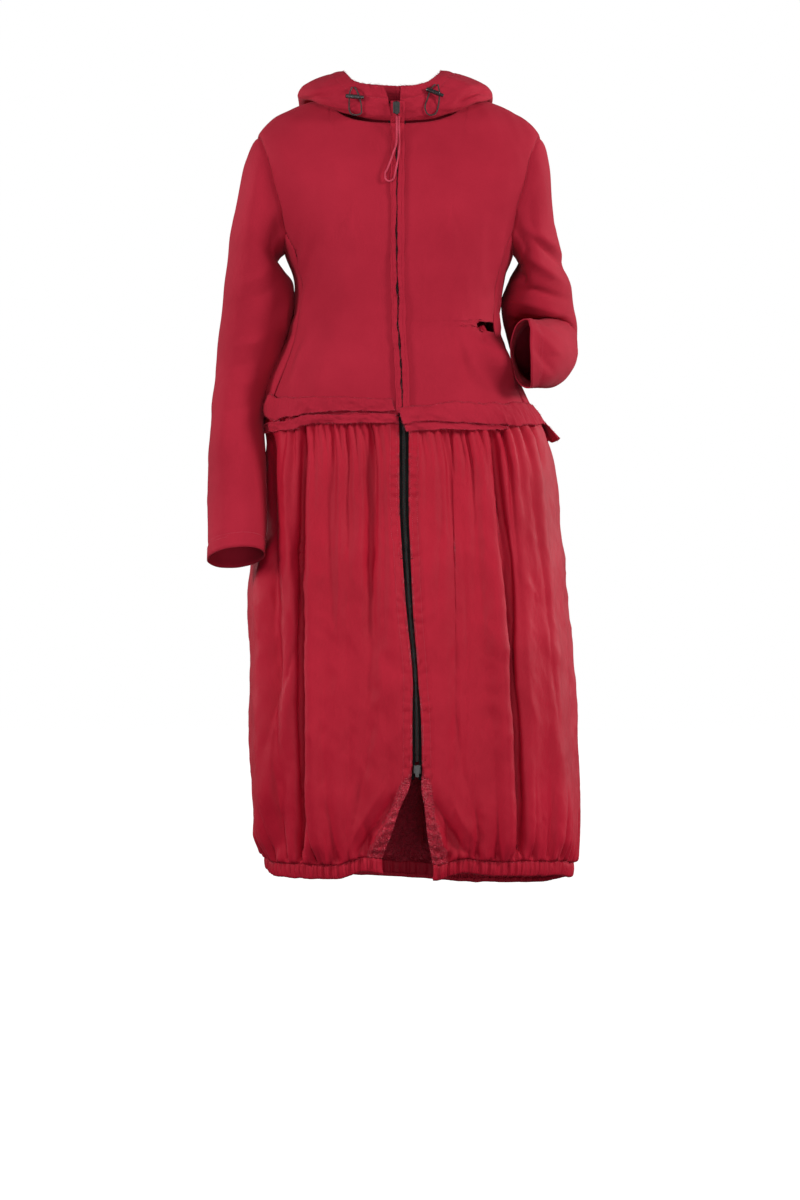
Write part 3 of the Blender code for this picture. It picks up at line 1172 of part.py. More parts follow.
def main():
    clear_scene()
    target = new_collection("jacket_dress")
    build_bodice(target)
    build_sleeve(-1, SLEEVE_RIGHT, "sleeve_right", target)
    build_sleeve(1, SLEEVE_LEFT, "sleeve_left", target)
    build_hood(target)
    build_zip(target)
    build_sliders(target)
    build_waist(target)
    build_skirt(target)
    build_bags(target)
    build_locks(target, new_collection("cutters", hidden=True))


main()
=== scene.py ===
# Hooded jacket dress: jersey bodice, sleeves and hood over a gathered balloon skirt with an elastic hem.
# Metres, +Z up, front towards -Y, the wearer's left towards +X. The origin is at the base of the neck.
import bpy
import numpy as np
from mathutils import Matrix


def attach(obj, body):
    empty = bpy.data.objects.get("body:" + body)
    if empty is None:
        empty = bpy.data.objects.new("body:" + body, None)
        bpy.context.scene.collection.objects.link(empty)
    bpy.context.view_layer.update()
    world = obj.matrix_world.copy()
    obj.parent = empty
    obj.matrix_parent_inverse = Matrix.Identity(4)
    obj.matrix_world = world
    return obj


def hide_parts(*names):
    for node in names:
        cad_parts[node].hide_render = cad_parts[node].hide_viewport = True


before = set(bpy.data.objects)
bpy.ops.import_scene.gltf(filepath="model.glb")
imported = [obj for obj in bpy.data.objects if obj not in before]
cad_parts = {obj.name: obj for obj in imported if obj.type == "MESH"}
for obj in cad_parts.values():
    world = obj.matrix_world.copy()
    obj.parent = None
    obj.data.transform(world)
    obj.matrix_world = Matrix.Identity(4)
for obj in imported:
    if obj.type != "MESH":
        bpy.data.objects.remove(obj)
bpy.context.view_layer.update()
scene = bpy.context.scene
print("frame loaded")

# the view
picture = {
    "metresTall": 1.656,  # height of the picture at the garment's middle
    "centre": (0.0014, 0.0, -0.697),
    "distance": 9.0,
    "perPixel": 0.00138,  # metres for each pixel of the picture
    "axisX": 399,  # the garment's middle, in the picture's pixels
    "neckY": 95,
}

camData = bpy.data.cameras.new("camera")
camData.sensor_fit = "VERTICAL"
camData.sensor_height = 36
camData.lens = 36 * picture["distance"] / picture["metresTall"]
camData.clip_end = 60
camera = bpy.data.objects.new("camera", camData)
scene.collection.objects.link(camera)
camera.location = (picture["centre"][0], -picture["distance"], picture["centre"][2])
camera.rotation_euler = (np.pi / 2, 0, 0)
scene.camera = camera


# the picture's pixels to metres across and up: the distance from the axis times the size of a pixel
def fromPicture(spots):
    spots = np.asarray(spots, float)
    place = np.stack([spots[..., 0] - picture["axisX"], picture["neckY"] - spots[..., 1]], -1)
    return place * picture["perPixel"]


# sizes and shapes of the pieces
bothSides = ((-1, "right"), (1, "left"))  # the wearer's right is towards -X
jerseyThick = 0.0018  # wall of the bodice, sleeves and hood
taffetaThick = 0.0012  # wall of the gathered skirt
stripThick = 0.0015  # wall of the raw-edged strips at the waist and the front
bagThick = 0.0010  # wall of the pocket bags
chestZ = -0.217  # height of the underarm
waistDrop = -0.229  # drop from the underarm to the waist seam
square = 0.045  # how far the body's sections are squared off, 0 for an ellipse
# Sections of the body. A level below 0 is in metres from the underarm, and a level from 0 to 1 is the share of
# the quarter turn over the shoulder. A seam or armhole lies at that share of the half width, front and back.
bodyColumns = ("level", "halfWidth", "front", "back", "centreX", "centreY", "frontSeam", "backSeam")
bodyTable = np.array([
    (-0.229, 0.1875, 0.145, 0.130, 0.0030, 0.004, 0.950, 0.90),
    (-0.200, 0.1770, 0.141, 0.125, -0.0025, 0.004, 0.950, 0.90),
    (-0.149, 0.1560, 0.134, 0.117, -0.0040, 0.004, 0.945, 0.90),
    (-0.107, 0.1440, 0.128, 0.112, -0.0045, 0.004, 0.935, 0.90),
    (-0.066, 0.1400, 0.125, 0.110, -0.0010, 0.004, 0.930, 0.89),
    (-0.033, 0.1460, 0.124, 0.110, 0.0000, 0.004, 0.915, 0.88),
    (0.000, 0.1570, 0.122, 0.110, 0.0000, 0.004, 0.905, 0.88),
    (0.080, 0.1660, 0.121, 0.111, 0.0000, 0.004, 0.930, 0.92),
    (0.210, 0.1830, 0.119, 0.113, 0.0000, 0.004, 0.886, 0.90),
    (0.370, 0.1960, 0.117, 0.112, 0.0000, 0.004, 0.883, 0.89),
    (0.670, 0.2060, 0.112, 0.107, 0.0000, 0.005, 0.905, 0.905),
    (1.000, 0.2110, 0.106, 0.100, 0.0000, 0.006, 0.925, 0.925),
])
armholeLevel = 0.08  # level where the side seams run into the armhole
# Heights along the shoulder and along the front and back necklines, by distance from the middle.
shoulderLine = np.array([
    (0.000, 0.020), (0.060, 0.009), (0.100, -0.004), (0.137, -0.016), (0.165, -0.030), (0.180, -0.041),
    (0.190, -0.053), (0.197, -0.067), (0.206, -0.088), (0.216, -0.112),
])
neckPoint = 0.098
frontNeck = np.array(
    [(0.000, -0.0445), (0.030, -0.0435), (0.050, -0.0410), (0.072, -0.0345), (0.088, -0.0220), (0.096, -0.0090)]
)
backNeck = np.array([(0.000, -0.0100), (0.045, -0.0080), (0.075, -0.0050), (0.096, -0.0040)])
# Middle of the front opening and half its width, by height. Below the zip the skirt is open.
openingTable = np.array([
    (-1.080, 0.0115, 0.0385), (-1.068, 0.0112, 0.0374), (-1.014, 0.0144, 0.0241), (-0.980, 0.0180, 0.0168),
    (-0.944, 0.0228, 0.0072), (-0.925, 0.0246, 0.0066), (-0.862, 0.0240, 0.0060), (-0.799, 0.0220, 0.0036),
    (-0.711, 0.0145, 0.0045), (-0.642, 0.0104, 0.0055), (-0.560, 0.0069, 0.0062), (-0.470, 0.0069, 0.0064),
    (-0.436, 0.0045, 0.0058), (-0.400, 0.0035, 0.0058), (-0.324, -0.0010, 0.0058), (-0.228, -0.0028, 0.0058),
    (0.020, -0.0028, 0.0058),
])


# A curve through the values of a table, which never swings past them between two rows.
def smooth(at, stations, values):
    s = np.asarray(stations, float)
    v = np.asarray(values, float)
    rise = np.diff(v) / np.diff(s)
    slope = np.concatenate([[rise[0]], np.zeros(len(s) - 2), [rise[-1]]])
    same = rise[:-1] * rise[1:] > 0
    with np.errstate(divide="ignore", invalid="ignore"):
        mean = 2 * rise[:-1] * rise[1:] / (rise[:-1] + rise[1:])
    slope[1:-1] = np.where(same, mean, 0)
    at = np.clip(at, s[0], s[-1])
    i = np.clip(np.searchsorted(s, at, side="right") - 1, 0, len(s) - 2)
    h = s[i + 1] - s[i]
    t = (at - s[i]) / h
    a = (2 * t**3 - 3 * t**2 + 1) * v[i] + (3 * t**2 - 2 * t**3) * v[i + 1]
    return a + h * ((t**3 - 2 * t**2 + t) * slope[i] + (t**3 - t**2) * slope[i + 1])


# length along a line of points, from 0 at its start
def lengthsAlong(line):
    return np.concatenate([[0], np.cumsum(np.linalg.norm(np.diff(line, axis=0), axis=1))])


# points of a line, or directions along it, at the given stations
def pointsAt(at, stations, line):
    return np.stack([np.interp(at, stations, line[:, k]) for k in range(3)], axis=-1)


# 1 at the middle of a bell, falling off over its width either way
def bell(x, middle, width, power=2):
    return np.exp(-(((x - middle) / width) ** power))


def column(table, names, name, at):
    return smooth(at, table[:, 0], table[:, names.index(name)])


def body(name, level):
    return column(bodyTable, bodyColumns, name, level)


def frontLine(z):
    return smooth(z, openingTable[:, 0], openingTable[:, 1])


def halfOpening(z):
    return smooth(z, openingTable[:, 0], openingTable[:, 2])


# 0 below 0, 1 above 1, and a smooth rise between.
def step(t):
    t = np.clip(t, 0, 1)
    return t * t * (3 - 2 * t)


# Share of the half width at an angle from the middle of the front.
def across(angle):
    return (np.sin(angle) + square * np.sin(3 * angle)) / (1 - square)


# Share of the depth at that angle, 1 at the middle of the front and -1 at the middle of the back.
def forward(angle):
    return (np.cos(angle) - square * np.cos(3 * angle)) / (1 - square)


angleSteps = np.linspace(0, np.pi / 2, 400)


# The angle from the middle whose share of the half width this is.
def angleAt(share):
    return np.sign(share) * np.interp(np.abs(share), across(angleSteps), angleSteps)


# Inner surface of the bodice: squared ellipses up to the underarm, then a quarter turn over the shoulders.
def torso(angle, level):
    turn = np.clip(level, 0, None) * np.pi / 2
    x = body("centreX", level) + body("halfWidth", level) * across(angle)
    top = smooth(np.abs(x), shoulderLine[:, 0], shoulderLine[:, 1])
    z = chestZ + np.minimum(level, 0) + (top - chestZ) * np.sin(turn)
    facing = forward(angle)
    depth = np.where(facing > 0, body("front", level), body("back", level))
    y = body("centreY", level) - depth * facing * np.cos(turn)
    return np.stack([x, y, z], axis=-1)


shoulderLevel = 0.997  # the shoulder seam stays this share of the turn up, so that front and back don't touch


# Level of the top edge of the bodice at x: the neckline, then the shoulder.
def neckLevel(x, table):
    away = np.abs(x)
    top = smooth(away, shoulderLine[:, 0], shoulderLine[:, 1])
    line = smooth(away, table[:, 0], table[:, 1])
    level = np.arcsin(np.clip((line - chestZ) / (top - chestZ), 0, 1)) * 2 / np.pi
    return np.where(away >= neckPoint, shoulderLevel, np.minimum(level, shoulderLevel))


# Sections of the skirt, by height.
skirtColumns = ("z", "halfWidth", "front", "back", "centreX", "centreY")
skirtTable = np.array([
    (-1.100, 0.2050, 0.165, 0.160, 0.0275, 0.005),
    (-1.064, 0.2070, 0.168, 0.163, 0.0280, 0.005),
    (-1.040, 0.2130, 0.178, 0.172, 0.0275, 0.005),
    (-1.000, 0.2190, 0.188, 0.180, 0.0255, 0.005),
    (-0.955, 0.2220, 0.193, 0.184, 0.0220, 0.005),
    (-0.883, 0.2225, 0.195, 0.185, 0.0185, 0.005),
    (-0.780, 0.2180, 0.190, 0.180, 0.0160, 0.005),
    (-0.696, 0.2150, 0.182, 0.173, 0.0100, 0.004),
    (-0.640, 0.2075, 0.176, 0.167, 0.0140, 0.004),
    (-0.600, 0.2005, 0.170, 0.160, 0.0165, 0.004),
    (-0.520, 0.1970, 0.159, 0.147, 0.0155, 0.004),
    (-0.470, 0.1910, 0.148, 0.134, 0.0100, 0.004),
    (-0.446, 0.1875, 0.145, 0.130, 0.0030, 0.004),
])
skirtTop = -0.4465
casingTop = -1.0530
casingHeight = 0.0220
# How far the hem hangs below its level height, across the front and across the back.
frontDrop = np.array(
    [(-0.185, 0.010), (-0.168, -0.001), (-0.088, -0.002), (-0.061, 0.005), (-0.048, 0.009), (-0.026, 0.006)]
    + [(0.050, -0.003), (0.072, 0.004), (0.091, 0.007), (0.121, 0.003), (0.220, 0.001), (0.235, -0.004)]
)
backDrop = np.array(
    [(-0.185, 0.004), (-0.100, -0.006), (0.010, -0.012), (0.120, -0.019), (0.200, -0.017), (0.235, -0.006)]
)
# The largest folds: side (1 the front, -1 the back), place across at the three depths below the neck, width, and
# how far the fold stands out (or in, below 0) at those depths.
foldDepths = (0.480, 0.760, 1.000)
foldTable = np.array([
    (1, -0.130, -0.130, -0.131, 0.0065, -0.016, -0.020, -0.020),
    (1, -0.119, -0.112, -0.110, 0.0140, 0.003, 0.009, 0.010),
    (1, -0.157, -0.146, -0.176, 0.0120, 0.002, 0.009, 0.006),
    (1, -0.170, -0.166, -0.160, 0.0090, -0.006, -0.010, -0.006),
    (1, -0.186, -0.184, -0.181, 0.0100, 0.000, 0.008, 0.008),
    (1, -0.085, -0.084, -0.086, 0.0160, 0.000, 0.003, 0.003),
    (1, -0.040, -0.037, -0.062, 0.0100, -0.007, -0.005, -0.002),
    (1, 0.018, 0.020, 0.050, 0.0080, -0.007, -0.003, -0.002),
    (1, 0.073, 0.078, 0.076, 0.0090, -0.009, -0.006, -0.003),
    (1, 0.129, 0.149, 0.163, 0.0075, -0.015, -0.022, -0.020),
    (1, 0.114, 0.133, 0.146, 0.0130, 0.004, 0.008, 0.008),
    (1, 0.150, 0.170, 0.182, 0.0110, 0.003, 0.008, 0.006),
    (1, 0.176, 0.204, 0.222, 0.0120, 0.004, 0.010, 0.008),
    (-1, -0.140, -0.148, -0.150, 0.0080, -0.015, -0.020, -0.019),
    (-1, -0.122, -0.126, -0.128, 0.0140, 0.003, 0.009, 0.010),
    (-1, -0.060, -0.066, -0.072, 0.0100, -0.011, -0.014, -0.010),
    (-1, -0.040, -0.042, -0.044, 0.0150, 0.003, 0.008, 0.006),
    (-1, 0.022, 0.030, 0.034, 0.0090, -0.012, -0.016, -0.012),
    (-1, 0.044, 0.054, 0.060, 0.0150, 0.003, 0.007, 0.006),
    (-1, 0.104, 0.122, 0.134, 0.0085, -0.014, -0.019, -0.018),
    (-1, 0.126, 0.148, 0.162, 0.0140, 0.003, 0.009, 0.009),
    (-1, 0.165, 0.190, 0.205, 0.0090, -0.008, -0.010, -0.008),
])
sideSeam = np.radians(91)  # angle of the skirt's side seams from the middle of the front
panelEdgeFlat = 0.020  # the gathers fade out this near to the zip and to a side seam


def skirtSize(name, z):
    return column(skirtTable, skirtColumns, name, z)


# 0 along the front opening and 1 away from it, where the cloth is free to fold.
def flatness(x, z):
    return step((np.abs(x - frontLine(z)) - halfOpening(z) - 0.004) / panelEdgeFlat)


# How far a point near the hem is moved down or up, so that the hem hangs unevenly.
def hemDrop(x, facing, z):
    ahead = smooth(x, frontDrop[:, 0], frontDrop[:, 1])
    behind = smooth(x, backDrop[:, 0], backDrop[:, 1])
    backShare = step(0.5 - 1.2 * facing)
    return (ahead + (behind - ahead) * backShare) * step((-0.960 - z) / (-0.960 - casingTop))


# Inner surface of the skirt: squared ellipses, moved in and out by the folds and gathers.
def skirt(angle, z):
    facing = forward(angle)
    x = skirtSize("centreX", z) + skirtSize("halfWidth", z) * across(angle)
    depth = np.where(facing > 0, skirtSize("front", z), skirtSize("back", z))
    out = np.zeros_like(x)
    free = step((skirtTop - 0.004 - z) / 0.030) * step((z - casingTop) / 0.030)
    for side, xTop, xMiddle, xLow, width, top, middle, low in foldTable:
        place = smooth(-z, foldDepths, [xTop, xMiddle, xLow])
        height = smooth(-z, foldDepths, [top, middle, low])
        onSide = step(0.5 + 6 * side * facing)
        out = out + onSide * height * bell(x, place, width)
    out = out * free * np.where(facing > 0, flatness(x, z), 1)
    y = skirtSize("centreY", z) - depth * facing
    away = np.stack([across(angle) / skirtSize("halfWidth", z), -facing / depth], axis=-1)
    away = away / np.linalg.norm(away, axis=-1, keepdims=True)
    z = z + hemDrop(x, facing, z)
    return np.stack([x + out * away[..., 0], y + out * away[..., 1], z + 0 * x], axis=-1)


ruffleCount = 56  # small waves along the hem on the front, and again on the back


def ruffleTurn(angle):
    return angle * ruffleCount / np.pi + 0.25 * np.sin(9 * angle)


# Hood and collar. Each row is one section round the neck, from the middle of the front (0 degrees) to the
# middle of the back (180). A section is a curve from the neck seam past the under and outer layers to the rim.
hoodColumns = "angle underX underY underZ outerX outerY outerZ rimX rimY rimZ".split()
hoodTable = np.array([
    (0, 0.0060, -0.0805, -0.031, 0.0085, -0.0835, -0.012, 0.0115, -0.0800, 0.005),
    (25, 0.0370, -0.0780, -0.029, 0.0350, -0.0810, -0.012, 0.0300, -0.0760, 0.0075),
    (50, 0.0790, -0.0700, -0.027, 0.0730, -0.0710, -0.006, 0.0500, -0.0600, 0.014),
    (72, 0.1180, -0.0500, -0.026, 0.1200, -0.0460, 0.014, 0.0640, -0.0320, 0.028),
    (92, 0.1480, 0.0050, -0.024, 0.1520, 0.0120, 0.022, 0.0680, 0.0000, 0.032),
    (115, 0.1460, 0.0860, -0.050, 0.1560, 0.0980, 0.010, 0.0700, 0.0500, 0.028),
    (140, 0.1100, 0.1620, -0.165, 0.1220, 0.1950, -0.120, 0.0550, 0.0860, 0.024),
    (160, 0.0550, 0.1780, -0.222, 0.0630, 0.2220, -0.190, 0.0280, 0.1000, 0.022),
    (180, 0.0002, 0.1820, -0.240, 0.0002, 0.2300, -0.215, 0.0002, 0.1050, 0.021),
])
hoodShift = -0.0095  # the rim sits this far towards the wearer's right
hoodRest = 0.0030  # space between the hood's under layer and the cloth that it lies on
restReach = 0.06  # points further than this from the cloth are left where they are
neckCentre = (0.0, -0.008)


# The seam of the hood on the wearer's left, just off the bodice's neckline: its angle round the neck, and
# its points.
def neckLine():
    spots = np.linspace(0.0, neckPoint, 60)
    rows = []
    for table, behind in ((frontNeck, False), (backNeck, True)):
        level = np.minimum(neckLevel(spots, table), shoulderLevel - 0.012)
        angle = angleAt(spots / body("halfWidth", level))
        angle = np.pi - angle if behind else angle
        out = normals(torso, angle, level)
        out = out * np.sign(out[:, 2:] + 1e-9 - 2.0 * out[:, 1:2] * (-1 if behind else 1))
        rise = torso(angle, level + 2e-3) - torso(angle, level - 2e-3)
        rise = rise / np.linalg.norm(rise, axis=1, keepdims=True)
        rows.append(torso(angle, level) + (jerseyThick + 0.0019) * out + 0.0012 * rise)
    line = np.concatenate([rows[0], rows[1][::-1]])
    turned = np.degrees(np.arctan2(line[:, 0] - neckCentre[0], neckCentre[1] - line[:, 1]))
    order = np.argsort(turned)
    return turned[order], line[order]


# Points over the bodice with their outward directions, to rest other pieces on.
def bodySamples():
    u, v = np.meshgrid(np.linspace(-np.pi, np.pi, 181), np.linspace(-0.10, 0.985, 90))
    out = normals(torso, u, v)
    out = out * np.where(np.sum(out * (torso(u, v) - np.array([0, 0, -0.3])), axis=-1, keepdims=True) > 0, 1, -1)
    return torso(u, v).reshape(-1, 3), out.reshape(-1, 3)


# Points moved out where they lie nearer to the ground than the clearance: each is compared with its nearest
# point of the ground.
def rested(points, ground, groundOut, clearance):
    flat = points.reshape(-1, 3)
    near = np.argmin(np.sum((flat[:, None] - ground[None]) ** 2, axis=2), axis=1)
    height = np.sum((flat - ground[near]) * groundOut[near], axis=1)
    short = (np.abs(height) < restReach) & (height < clearance)
    flat = flat + np.where(short, clearance - height, 0)[:, None] * groundOut[near]
    return flat.reshape(points.shape)


# Inner surface of one half of the hood, side -1 for the wearer's right and 1 for the left.
def hood(side):
    turned, line = neckLine()

    def surface(angle, along):
        def point(part):
            x, y, z = (column(hoodTable, hoodColumns, part + end, angle) for end in "XYZ")
            shift = {"under": 0.5, "outer": 0.6, "rim": 1}[part] * hoodShift
            shift = shift * step((180 - angle) / 60)
            return np.stack([side * x + shift, y, z], axis=-1)

        seam = pointsAt(angle, turned, line)
        least = 0.0056 * step((40 - angle) / 30) + 0.0004
        seam[..., 0] = side * np.maximum(seam[..., 0], least) + openingTable[-1, 1] * step((40 - angle) / 30)
        t = along[..., None]
        ends = (1 - t) ** 3 * seam + t**3 * point("rim")
        return ends + 3 * (1 - t) ** 2 * t * point("under") + 3 * (1 - t) * t**2 * point("outer")

    return surface


# Sections down each sleeve, x measured outwards: centre, half sizes across and front to back, the tilt of the
# section's outer end, its pitch as the arm swings forward, its turn inwards at the wrist (degrees), all by the
# share of the sleeve's length.
sleeveColumns = "share x y z halfOut halfFront tilt pitch turn".split()
sleeveRight = np.array([
    (0.00, 0.1780, 0.004, -0.1410, 0.0760, 0.074, 75, 0, 0),
    (0.05, 0.1845, 0.004, -0.1475, 0.0695, 0.074, 73, 0, 0),
    (0.10, 0.1920, 0.003, -0.1670, 0.0590, 0.072, 66, 0, 0),
    (0.18, 0.1945, 0.003, -0.2020, 0.0485, 0.070, 50, 0, 0),
    (0.28, 0.1908, 0.000, -0.2460, 0.0472, 0.067, 22, 0, 0),
    (0.38, 0.1945, -0.002, -0.2970, 0.0480, 0.063, 2, 0, 0),
    (0.47, 0.2045, -0.001, -0.3440, 0.0440, 0.058, -1, 4, 0),
    (0.56, 0.2170, -0.006, -0.3930, 0.0355, 0.053, -3, 9, 0),
    (0.65, 0.2255, -0.020, -0.4380, 0.0315, 0.049, -3, 14, 0),
    (0.76, 0.2255, -0.047, -0.4980, 0.0345, 0.047, -3, 17, 0),
    (0.87, 0.2240, -0.076, -0.5580, 0.0360, 0.046, -3, 17, 0),
    (0.94, 0.2235, -0.095, -0.6020, 0.0360, 0.045, -4, 17, 0),
    (1.00, 0.2230, -0.110, -0.6390, 0.0360, 0.045, -6, 17, 0),
])
sleeveLeft = np.array([
    (0.00, 0.1780, 0.004, -0.1410, 0.0760, 0.074, 75, 0, 0),
    (0.05, 0.1835, 0.005, -0.1500, 0.0670, 0.074, 73, -2, 0),
    (0.10, 0.1885, 0.009, -0.1730, 0.0515, 0.071, 66, -5, 0),
    (0.18, 0.1895, 0.017, -0.2070, 0.0385, 0.068, 52, -11, 0),
    (0.28, 0.1885, 0.028, -0.2430, 0.0385, 0.065, 24, -17, 0),
    (0.38, 0.1900, 0.040, -0.2770, 0.0480, 0.061, 11, -19, 0),
    (0.47, 0.1955, 0.051, -0.3120, 0.0485, 0.057, 4, 8, 0),
    (0.56, 0.1998, 0.050, -0.3380, 0.0462, 0.055, 2, 40, 0),
    (0.65, 0.2030, 0.027, -0.3520, 0.0430, 0.049, 0, 68, 0),
    (0.75, 0.2010, -0.010, -0.3570, 0.0410, 0.046, 0, 84, 5),
    (0.84, 0.1945, -0.047, -0.3590, 0.0390, 0.0455, 0, 88, 13),
    (0.92, 0.1870, -0.084, -0.3600, 0.0360, 0.0455, 0, 88, 30),
    (1.00, 0.1745, -0.112, -0.3605, 0.0330, 0.0455, 0, 88, 52),
])
sleeveBlend = 0.20  # share of the sleeve over which the armhole's shape turns into the round one
# The pocket on the wearer's left stands open as the photograph shows it, and the other lies closed.
mouthTop = -0.0985  # levels of the ends of the pocket mouth
mouthLow = -0.1890
gapeOut = 0.012
gapeForward = 0.048
mouthTable = np.array([
    (mouthLow - 0.004, 0.945), (mouthLow, 0.930), (-0.160, 0.930), (-0.130, 0.930),
    (-0.1080, 0.915), (-0.1050, 0.800), (-0.1015, 0.765), (-0.0990, 0.930),
])


# Share of the half width of the front's side edge, with the notch where the open pocket's mouth starts.
def seamShare(side, level):
    share = body("frontSeam", level)
    if side > 0:
        inside = (level > mouthTable[0, 0]) & (level < mouthTable[-1, 0])
        share = np.where(inside, np.interp(level, mouthTable[:, 0], mouthTable[:, 1]), share)
    return share


# How far the open pocket's mouth is pushed out from the body, 0 to 1.
def gape(angle, level):
    middle = 0.5 * (mouthTop + mouthLow) - 0.004
    reach = 0.5 * (mouthTop - mouthLow) + 0.012
    height = np.cos(np.clip((level - middle) / reach, -1, 1) * np.pi / 2) ** 2
    return height * step((across(angle) - 0.55) / 0.42) ** 1.3


# Inner surface of one half of the front, side -1 for the wearer's right and 1 for the left.
def front(side):

    def surface(angle, level):
        point = torso(angle, level)
        if side > 0:
            push = gape(angle, level)[..., None]
            point = point + push * np.array([gapeOut, -gapeForward, 0])
        return point

    return surface


# Outward direction of a surface of two parameters, from its slopes each way, facing away from the neck's axis.
def normals(surface, u, v, span=(1e-3, 1e-3)):
    du = surface(u + span[0], v) - surface(u - span[0], v)
    dv = surface(u, v + span[1]) - surface(u, v - span[1])
    n = np.cross(du, dv)
    return n / np.maximum(np.linalg.norm(n, axis=-1, keepdims=True), 1e-12)


# Inner surface of a sleeve: the armhole's line, then round sections along the arm.
def sleeve(side, table):
    ring, ringShare = armholeLine(side)
    ends = np.concatenate([ring, ring[:1]])
    at = np.concatenate([ringShare, [1.0]])

    def surface(turn, share):
        def size(name):
            return column(table, sleeveColumns, name, share)

        tilt, pitch, yaw = (np.radians(size(name)) for name in ("tilt", "pitch", "turn"))
        centre = np.stack([side * size("x"), size("y"), size("z")], axis=-1)
        out = np.stack([np.cos(tilt), np.zeros_like(tilt), np.sin(tilt)], axis=-1)
        ahead = np.stack([np.zeros_like(pitch), -np.cos(pitch), np.sin(pitch)], axis=-1)

        def turned(v):
            x = v[..., 0] * np.cos(yaw) + v[..., 1] * np.sin(yaw)
            y = -v[..., 0] * np.sin(yaw) + v[..., 1] * np.cos(yaw)
            return np.stack([side * x, y, v[..., 2]], axis=-1)

        angle = 2 * np.pi * turn
        roundPart = turned(out) * (size("halfOut") * np.cos(angle))[..., None]
        roundPart = roundPart + turned(ahead) * (size("halfFront") * np.sin(angle))[..., None]
        wrapped = np.mod(turn, 1)
        start = pointsAt(wrapped, at, ends)
        first = np.array([side * table[0, 1], table[0, 2], table[0, 3]])
        weight = step(share / sleeveBlend)[..., None]
        return centre + (1 - weight) * (start - first) + weight * roundPart

    return surface


# Sign that turns a body surface's normals away from its middle.
def facingOut(surface, u, v):
    point = surface(np.array([u]), np.array([v]))[0]
    n = normals(surface, np.array([u]), np.array([v]))[0]
    return 1 if n[0] * point[0] + n[1] * point[1] > 0 else -1


seamStep = 0.0015  # front and back stop this share of the half width short of the side seam
underarmRise = armholeLevel - 0.004  # the side panel's top rises this far towards its two seams
evenLevel = 0.37  # rows of points lie level up to here


# Levels of one column's rows: even up to evenLevel, then drawn together below the top edge.
def columnLevels(levels, top):
    share = (levels - evenLevel) / (shoulderLevel - evenLevel)
    return np.where(levels <= evenLevel, levels, evenLevel + share * (top - evenLevel))


# Points an even distance apart on a smooth curve through the corners.
def evenRoute(corners, spacing):
    corners = np.asarray(corners, float)
    steps = lengthsAlong(corners)
    fine = np.linspace(0, steps[-1], 600)
    line = np.stack([smooth(fine, steps, corners[:, k]) for k in range(3)], axis=-1)
    length = lengthsAlong(line)
    at = np.linspace(0, length[-1], max(8, int(round(length[-1] / spacing)) + 1))
    return pointsAt(at, length, line)


# Inner surface of the garment beside the front opening, at a distance from its middle. Over the collar it
# runs straight up from the neckline, or further out.
def frontPoint(offset, z, collarOut=0.0):
    x = frontLine(z) + offset
    neck = frontNeck[0, 1]
    level = np.where(z < chestZ, z - chestZ, 0)
    rise = np.clip((np.minimum(z, neck) - chestZ) / (shoulderLine[0, 1] - chestZ), 0, 1)
    level = np.where(z < chestZ, level, np.arcsin(rise) * 2 / np.pi)
    yBody = torso(angleAt((x - body("centreX", level)) / body("halfWidth", level)), level)[..., 1]
    ySkirt = skirt(angleAt((x - skirtSize("centreX", z)) / skirtSize("halfWidth", z)), z)[..., 1]
    collar = np.interp(z, [neck, neck + 0.012, 0.005], [0, 1, 1]) * collarOut
    y = np.where(z > skirtTop, yBody + collar, ySkirt)
    return np.stack([x, y, z], axis=-1)


# Inner surface at the waist without the gathers, for the strips that lie over its seam.
def waist(angle, z):
    above = torso(angle, np.clip(z - chestZ, waistDrop, 0))
    facing = forward(angle)
    depth = np.where(facing > 0, skirtSize("front", z), skirtSize("back", z))
    x = skirtSize("centreX", z) + skirtSize("halfWidth", z) * across(angle)
    under = np.stack([x, skirtSize("centreY", z) - depth * facing, z], axis=-1)
    return np.where((z > skirtTop)[..., None], above, under)


# mesh tools
# faces of a grid: each joins a point, the next in its row, and the two under them
def gridFaces(rows, columns, around=False):
    r = np.arange(rows - 1)[:, None]
    c = np.arange(columns if around else columns - 1)[None, :]
    a = r * columns + c
    b = r * columns + (c + 1) % columns
    return np.stack([a, b, b + columns, a + columns], axis=-1).reshape(-1, 4)


# a mesh object from arrays of points and four-sided or three-sided faces
def meshObject(name, points, faces, look, uv=None):
    points = np.asarray(points, np.float32).reshape(-1, 3)
    groups = [np.asarray(f, np.int32) for f in (faces if isinstance(faces, list) else [faces])]
    corners = np.concatenate([f.ravel() for f in groups])
    sides = np.concatenate([np.full(len(f), f.shape[1], np.int32) for f in groups])
    mesh = bpy.data.meshes.new(name)
    mesh.vertices.add(len(points))
    mesh.vertices.foreach_set("co", points.ravel())
    mesh.loops.add(len(corners))
    mesh.loops.foreach_set("vertex_index", corners)
    mesh.polygons.add(len(sides))
    mesh.polygons.foreach_set("loop_start", np.concatenate([[0], np.cumsum(sides)[:-1]]).astype(np.int32))
    mesh.polygons.foreach_set("use_smooth", np.ones(len(sides), bool))
    if uv is not None:
        layer = mesh.uv_layers.new(name="cloth")
        layer.data.foreach_set("uv", np.asarray(uv, np.float32).ravel())
    mesh.update(calc_edges=True)
    mesh.validate()
    thing = bpy.data.objects.new(name, mesh)
    scene.collection.objects.link(thing)
    mesh.materials.append(look)
    return thing


# directions square to a grid of points: the cross product of its slopes along the rows and down the columns
def gridNormals(points, around=False):
    if around:
        sideways = np.roll(points, -1, axis=1) - np.roll(points, 1, axis=1)
    else:
        sideways = np.gradient(points, axis=1)
    return unit(np.cross(sideways, np.gradient(points, axis=0)))


